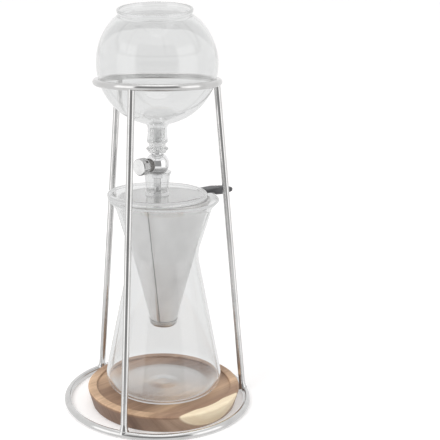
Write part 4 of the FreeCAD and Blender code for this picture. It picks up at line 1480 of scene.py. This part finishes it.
@dataclass
class ConeFilter(BrewAxis):
    """Double steel cone with lap seam, rolled rim, tip cap and ridged handle."""

    tip_r: float = 11.176
    rim_r: float = 40.774
    sheet: float = 0.6
    inner_depth: float = 0.72
    inner_sheet: float = 0.5
    sheet_rows: int = 12
    fit: float = 0.04
    seam_azimuth: float = -22.0
    seam_w: float = 2.4
    seam_t: float = 0.35
    seam_edge: float = 0.15
    seam_stop: float = 0.2
    rim_leg: float = 1.2
    rim_web: float = 0.9
    cap_h: float = 5.2
    cap_wall: float = 0.8
    handle_azimuth: float = 121.0
    sleeve_start: float = 42.574
    sleeve_l: float = 30.6
    sleeve_w: float = 13.0
    sleeve_line: tuple[Triple, ...] = (
        (0.0, 0.0, 3.6), (8.1, 0.0, 4.02), (11.6, -2.5, 4.2), (19.0, -2.7, 3.7),
        (30.6, -1.2, 2.4))
    sleeve_over_lip: float = 0.2
    sleeve_edge: float = 1.5
    sleeve_round: float = 3.9
    sleeve_rows: int = 54
    tip_w: float = 4.6
    tip_share: float = 0.62
    tip_soft: float = 1.2
    ridges: tuple[float, ...] = (16.1, 19.3)
    ridge_w: float = 1.5
    ridge_depth: float = 0.7

    def radius_at(self, height: float) -> float:
        """Outside radius of the cone at a height.

        Args:
            height: The height.

        Returns:
            The radius.
        """
        low = height_range("filter_outer_cone")[0]
        rim = height_range("filter_rim")[0]
        return self.tip_r + (self.rim_r - self.tip_r) * (height - low) / (rim - low)

    def sheet_cone(self, name: str, depth: float, thickness: float,
                   node: str) -> bpy.types.Object:
        """A conical sheet.

        Args:
            name: Name of the piece.
            depth: How far it lies inside the outside surface.
            thickness: Its thickness.
            node: The node whose height it has.

        Returns:
            The sheet.
        """
        low, high = height_range(node)
        rows = self.sheet_rows
        heights = [low + (high - low) * row / rows for row in range(rows + 1)]
        line = [(self.radius_at(height) - depth, height) for height in heights]
        line += [(radius - thickness, height) for radius, height in reversed(line)]
        return turn(name, line, self.axis, steps=180)

    def seam(self) -> bpy.types.Object:
        """The lap seam: a flat strip down the cone with softened edges.

        Returns:
            The strip.
        """
        low = height_range("filter_outer_cone")[0] + self.cap_h + self.seam_stop
        high = height_range("filter_rim")[0] - self.seam_stop
        away = outward(self.seam_azimuth)
        start, end = (self.axis + (away * self.radius_at(height) + UP * height) * MM
                      for height in (low, high))
        run = end - start
        bpy.ops.mesh.primitive_cube_add(size=MM)
        strip = just_added("lap_seam")
        with editing(strip):
            bpy.ops.transform.resize(value=(self.seam_w, 2 * self.seam_t, run.length / MM))
            bpy.ops.transform.translate(value=(0, 0, run.length / 2))
            bpy.ops.mesh.subdivide(number_cuts=1)
            bpy.ops.mesh.select_all(action="SELECT")
        across = UP.cross(away).normalized()
        out = across.cross(run.normalized()).normalized()
        turned = Matrix((across, out, run.normalized())).transposed().to_4x4()
        strip.matrix_world = Matrix.Translation(start) @ turned
        settle(strip)
        modifier = strip.modifiers.new("edge", "BEVEL")
        modifier.width = self.seam_edge * MM
        modifier.segments = 2
        bpy.ops.object.modifier_apply(modifier=modifier.name)
        return strip

    def rim(self) -> bpy.types.Object:
        """The rolled rim.

        Returns:
            The rim.
        """
        low, high = height_range("filter_rim")
        outer = self.radius_at(low) + self.rim_leg
        mesh_end = high - self.rim_web
        inner = self.radius_at(mesh_end) - self.inner_depth - self.inner_sheet
        leg_r, web = self.radius_at(low) + self.fit, mesh_end + GAP
        return turn("rolled_rim", rounded([
            (leg_r, (low + mesh_end) / 2, 0), (leg_r, low, 0.15), (outer, low, 0.55),
            (outer, high, 0.8), (inner, high, 0.4), (inner, web, 0.1),
            (self.radius_at(mesh_end) + self.fit, web, 0)], 15, 0.2),
            self.axis, steps=180, sharp=50)

    def cap(self) -> bpy.types.Object:
        """The pressed cap over the cone's tip.

        Returns:
            The cap.
        """
        foot = height_range("filter_tip_cap")[0]
        tip = foot + self.cap_wall
        end = tip + GAP + self.cap_h
        foot_r, low, high = (self.radius_at(height) + self.fit for height in (foot, tip, end))
        return turn("pressed_cap", rounded([
            (0, tip, 0), (low, tip, 0.2), (high, end, 0.1), (high + self.cap_wall, end, 0.3),
            (foot_r + self.cap_wall, foot, 3.0), (0, foot, 0)], 10, 0.2),
            self.axis, closed=False, steps=120, sharp=50)

    def sleeve_section(self, away: float) -> Triple:
        """Width, thickness and middle height of the sleeve, over its root's underside.

        Args:
            away: Distance from the sleeve's start.

        Returns:
            Width, thickness and middle height in millimetres.
        """
        for (near, low0, top0), (far, low1, top1) in zip(self.sleeve_line, self.sleeve_line[1:]):
            if away <= far + 1e-6:
                share = (away - near) / (far - near)
                eased = share * share * (3 - 2 * share)
                low, top = low0 + (low1 - low0) * eased, top0 + (top1 - top0) * share
                break
        left = self.sleeve_l - away
        inset = max(0.0, self.sleeve_round - left)
        reach = math.sqrt(max(self.sleeve_round ** 2 - inset ** 2, 0.01))
        width = max(self.sleeve_w - 2 * (self.sleeve_round - reach), self.tip_w)
        soft = min(1.0, math.sqrt(max(left, 0.02) / self.tip_soft))
        return width, (top - low) * max(self.tip_share, soft), (low + top) / 2

    def sleeve(self) -> bpy.types.Object:
        """The ridged silicone sleeve, drawn out along X and turned to its azimuth.

        Returns:
            The sleeve.
        """
        foot = height_range("carafe")[1] + self.sleeve_over_lip
        width, thick, middle = self.sleeve_section(0)
        bpy.ops.mesh.primitive_plane_add(size=MM, rotation=(0, math.radians(90), 0))
        piece = just_added("ridged_sleeve")
        settle(piece)
        step = self.sleeve_l / self.sleeve_rows
        with editing(piece):
            bpy.ops.transform.resize(value=(1, width, thick))
            bpy.ops.transform.translate(value=(self.sleeve_start * MM, 0, (foot + middle) * MM))
            bpy.ops.mesh.bevel(offset=self.sleeve_edge * MM, segments=6, affect="VERTICES")
            for index in range(1, self.sleeve_rows + 1):
                away = self.sleeve_l * index / self.sleeve_rows
                new_width, new_thick, new_middle = self.sleeve_section(away)
                bpy.ops.mesh.extrude_region_move(TRANSFORM_OT_translate={
                    "value": (step * MM, 0, (new_middle - middle) * MM)})
                bpy.ops.transform.resize(
                    value=(1, new_width / width, new_thick / thick),
                    center_override=((self.sleeve_start + away) * MM, 0, (foot + new_middle) * MM))
                width, thick, middle = new_width, new_thick, new_middle
            bpy.ops.mesh.select_all(action="SELECT")
            bpy.ops.mesh.normals_make_consistent(inside=False)
            for at in self.ridges:
                spot = (self.sleeve_start + at) * MM
                level = (foot + self.sleeve_section(at)[2] + 1.0) * MM
                pick(piece, lambda point, spot=spot, level=level:
                     abs(point.co.x - spot) < self.ridge_w / 2 * MM and point.co.z > level)
                bpy.ops.transform.translate(value=(0, 0, -self.ridge_depth * MM))
        turned = Matrix.Rotation(math.radians(self.handle_azimuth - 90), 4, "Z")
        piece.matrix_world = Matrix.Translation(self.axis) @ turned
        finish_mesh(piece, 50)
        return piece

    def build(self) -> None:
        """Make the filter and its handle."""
        etched = EtchedSteel(Slot.FILTER, axis=(self.axis_x, self.axis_y),
                             crease_azimuth=self.seam_azimuth)
        rolled = Metal(Slot.FILTER, colour=(0.64, 0.635, 0.625), polish=Polish.SATIN)
        silicone = Moulded(Slot.SLEEVE, colour=(0.085, 0.085, 0.09), rough=0.45, dust=0.1)
        outer = self.sheet_cone("outer_cone", 0, self.sheet, "filter_outer_cone")
        outer = join("outer_cone", [outer, self.seam()])
        liner = self.sheet_cone("mesh_liner", self.inner_depth, self.inner_sheet,
                                "filter_inner_mesh")
        for sheet, node in ((outer, "filter_outer_cone"), (liner, "filter_inner_mesh")):
            finish_mesh(sheet, 35)
            dress(sheet, "filter", node, etched)
        dress(self.rim(), "filter", "filter_rim", rolled)
        dress(self.cap(), "filter", "filter_tip_cap", rolled)
        dress(self.sleeve(), "filter", "handle_sleeve", silicone)
        paint_node("handle_tab", rolled)


@dataclass
class DripLid:
    """Clear lid: raised rim, thin plate and a cup with the tube's hole."""

    rim_w: float = 3.0
    rim_h: float = 4.4
    rim_round: float = 1.2
    rim_fall: float = 0.8
    plate_under: float = 1.4
    plate_t: float = 1.6
    cup_foot_r: float = 10.1
    cup_top_r: float = 11.6
    cup_flare_r: float = 13.0
    cup_flare_h: float = 2.8
    cup_wall: float = 1.5
    cup_floor: float = 1.0
    collar_w: float = 0.9
    collar_h: float = 2.0
    hole_r: float = 4.1
    hole_edge: float = 1.3

    def build(self) -> None:
        """Make the lid."""
        low, high = height_range("drip_lid")
        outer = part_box("drip_lid")[1][0] / MM
        inner = outer - self.rim_w
        cup_foot, cup_top = self.cup_foot_r - self.cup_wall, self.cup_top_r - self.cup_wall
        plate, rim_top = low + self.plate_under, low + self.rim_h
        top = plate + self.plate_t
        floor, collar = top + self.cup_floor, top + self.collar_h
        collar_r = self.cup_foot_r + self.collar_w
        flare = high - self.cup_flare_h
        middle = plate + self.hole_edge
        piece = turn("clear_lid", rounded([
            (self.hole_r, middle, 0), (self.hole_r, plate, 0.3),
            (inner - self.plate_under, plate, 0.8), (inner, low, 0.5), (outer, low, 0.8),
            (outer, rim_top, self.rim_round), (inner, rim_top, self.rim_round),
            (inner - self.rim_fall, top, 0.5),
            (collar_r, top, 0.3), (collar_r, collar, 0.5), (self.cup_foot_r, collar, 0.3),
            (self.cup_top_r, flare, 3), (self.cup_flare_r, high, 0.5),
            (self.cup_flare_r - self.cup_wall, high, 0.5), (cup_top, flare, 3),
            (cup_foot, floor, 0.8),
            (self.hole_r, floor, 0.3), (self.hole_r, middle + 0.1, 0)], 15, 0.3),
            steps=168, sharp=60)
        clear = Glass(Slot.LID, tint=(0.955, 0.957, 0.957), ior=1.47, wave=0.008, wave_size=30,
                      haze=0.03)
        dress(clear_of_lamps(piece), "lid", "drip_lid", clear)


# ---------------------------------------------------------------- studio
@dataclass
class Studio:
    """Pale floor, painted soft boxes round the set, one soft lamp and the camera."""

    camera_y: float = -781.0
    camera_z: float = 375.8
    pitch: float = 14.36
    lens: float = 72.2
    shift_x: float = 0.1425
    room: float = 1.12
    table: float = 1.12
    backdrop: float = 1.2
    seen: float = 1.3
    side_box: float = 1.9
    top_box: float = 1.9
    dark: float = 0.38
    diffuse_room: float = 0.92
    through_glass: float = 0.84
    glass_contrast: float = 0.3
    behind_glass: float = 1.15
    floor_glow: float = 0.2
    floor_r: float = 60000.0
    horizon: Pair = (-12, -19)
    side_azimuth: Span = (40, 45, 78, 82)
    side_rise: Span = (-23, -19, 29, 34)
    front_azimuth: Pair = (42, 37)
    front_rise: Pair = (41, 35)
    top_middle: Pair = (0.04, 95)
    top_half: Pair = (0.36, 42)
    top_edge: Pair = (1.15, 0.85)
    back_azimuth: Pair = (128, 136)
    tent_azimuth: Pair = (100, 125)
    tent_rise: Pair = (2, 6)
    paper: Colour = (0.86, 0.845, 0.84)
    lamp_at: Triple = (-1100.0, -900.0, 1500.0)
    lamp_aim: Triple = (0.0, 0.0, 100.0)
    lamp_size: float = 1000.0
    lamp_power: float = 14.0

    def surroundings(self) -> None:
        """World: a white room, two tall side boxes, one overhead box, and a dark front.

        Light that comes through glass sees the room with less contrast, as a light tent gives.
        """
        world = bpy.data.worlds.new("studio")
        bpy.context.scene.world = world
        world.use_nodes = True
        graph = Graph(world.node_tree)
        x, y, z = graph.parts(graph.node("ShaderNodeTexCoord").outputs["Generated"])
        ahead = y * -1.0
        azimuth = abs(graph.maths("ARCTAN2", x, ahead)) * (180 / math.pi)
        rise = z.apply("ARCSINE") * (180 / math.pi)
        over = graph.maths("ARCTAN2", z, ahead) * (180 / math.pi)
        side = azimuth.within(self.side_azimuth) * rise.within(self.side_rise)
        front = azimuth.between(*self.front_azimuth) * rise.between(*self.front_rise)
        aside = (x - self.top_middle[0]) / self.top_half[0]
        along = (over - self.top_middle[1]) / self.top_half[1]
        top = (aside * aside + along * along).between(*self.top_edge)
        back = azimuth.between(*self.back_azimuth)
        level = self.room + back * (self.backdrop - self.room) + front * (self.dark - self.room)
        level = level.towards(self.table, rise.between(*self.horizon))
        level = level + side * (self.side_box - level) + top * (self.top_box - level)
        diffuse, through, seen = (graph.value("ShaderNodeLightPath", f"Is {kind} Ray")
                                  for kind in ("Diffuse", "Transmission", "Camera"))
        level = level * (1 - diffuse * (1 - self.diffuse_room))
        softened = self.through_glass + (level - self.room) * self.glass_contrast
        tent = azimuth.between(*self.tent_azimuth) * rise.between(*self.tent_rise)
        softened = softened.towards(self.behind_glass, tent)
        level = level.towards(softened, through).towards(self.seen, seen)
        light = graph.shader("ShaderNodeBackground", {"Strength": level})
        graph.node("ShaderNodeOutputWorld", inputs={"Surface": light})

    def floor(self) -> None:
        """A plain pale floor that reaches to the horizon."""
        bpy.ops.mesh.primitive_circle_add(vertices=96, radius=self.floor_r * MM, fill_type="NGON")
        ground = just_added("studio_floor")
        ground.visible_glossy = False
        material = bpy.data.materials.new("floor_paper")
        material.use_nodes = True
        graph = Graph(material.node_tree)
        seen, through = (graph.value("ShaderNodeLightPath", f"Is {kind} Ray")
                         for kind in ("Camera", "Transmission"))
        paper = graph.shader("ShaderNodeBsdfDiffuse", {"Color": (*self.paper, 1)})
        glow = graph.shader("ShaderNodeEmission", {"Strength": seen * self.floor_glow})
        lit = graph.shader("ShaderNodeAddShader", {0: paper, 1: glow})
        even = graph.shader("ShaderNodeEmission", {"Strength": self.through_glass})
        graph.show_mix(through, lit, even)
        ground.data.materials.append(material)

    def lamp(self) -> None:
        """One large soft lamp, high on the left."""
        place = Vector(self.lamp_at) * MM
        bpy.ops.object.light_add(type="AREA", location=place)
        lamp = bpy.context.active_object
        lamp.data.shape = "SQUARE"
        lamp.data.size = self.lamp_size * MM
        lamp.data.energy = self.lamp_power
        way = Vector(self.lamp_aim) * MM - place
        lamp.rotation_euler = way.to_track_quat("-Z", "Y").to_euler()
        lamp.visible_camera = False
        lamp.visible_glossy = False
        lamp.visible_transmission = False

    def camera(self) -> None:
        """The camera."""
        bpy.ops.object.camera_add(location=(0, self.camera_y * MM, self.camera_z * MM),
                                  rotation=(math.radians(90 - self.pitch), 0, 0))
        camera = bpy.context.active_object
        camera.data.sensor_width = 36
        camera.data.lens = self.lens
        camera.data.shift_x = self.shift_x
        camera.data.clip_end = 200
        bpy.context.scene.camera = camera

    def build(self) -> None:
        """Set up the studio."""
        self.surroundings()
        self.floor()
        self.lamp()
        self.camera()
        bpy.context.scene.view_settings.view_transform = "Standard"
        log.info("studio: floor, surroundings, lamp and camera")


def main() -> None:
    """Build every sub-assembly in order, then the studio."""
    logging.basicConfig(level=logging.INFO, format="%(name)s %(message)s")
    put_down()
    for assembly in (WireStand, WaterGlobe, NeedleTap, WoodBase, Carafe, ConeFilter, DripLid,
                     Studio):
        assembly().build()


if __name__ == "__main__":
    main()
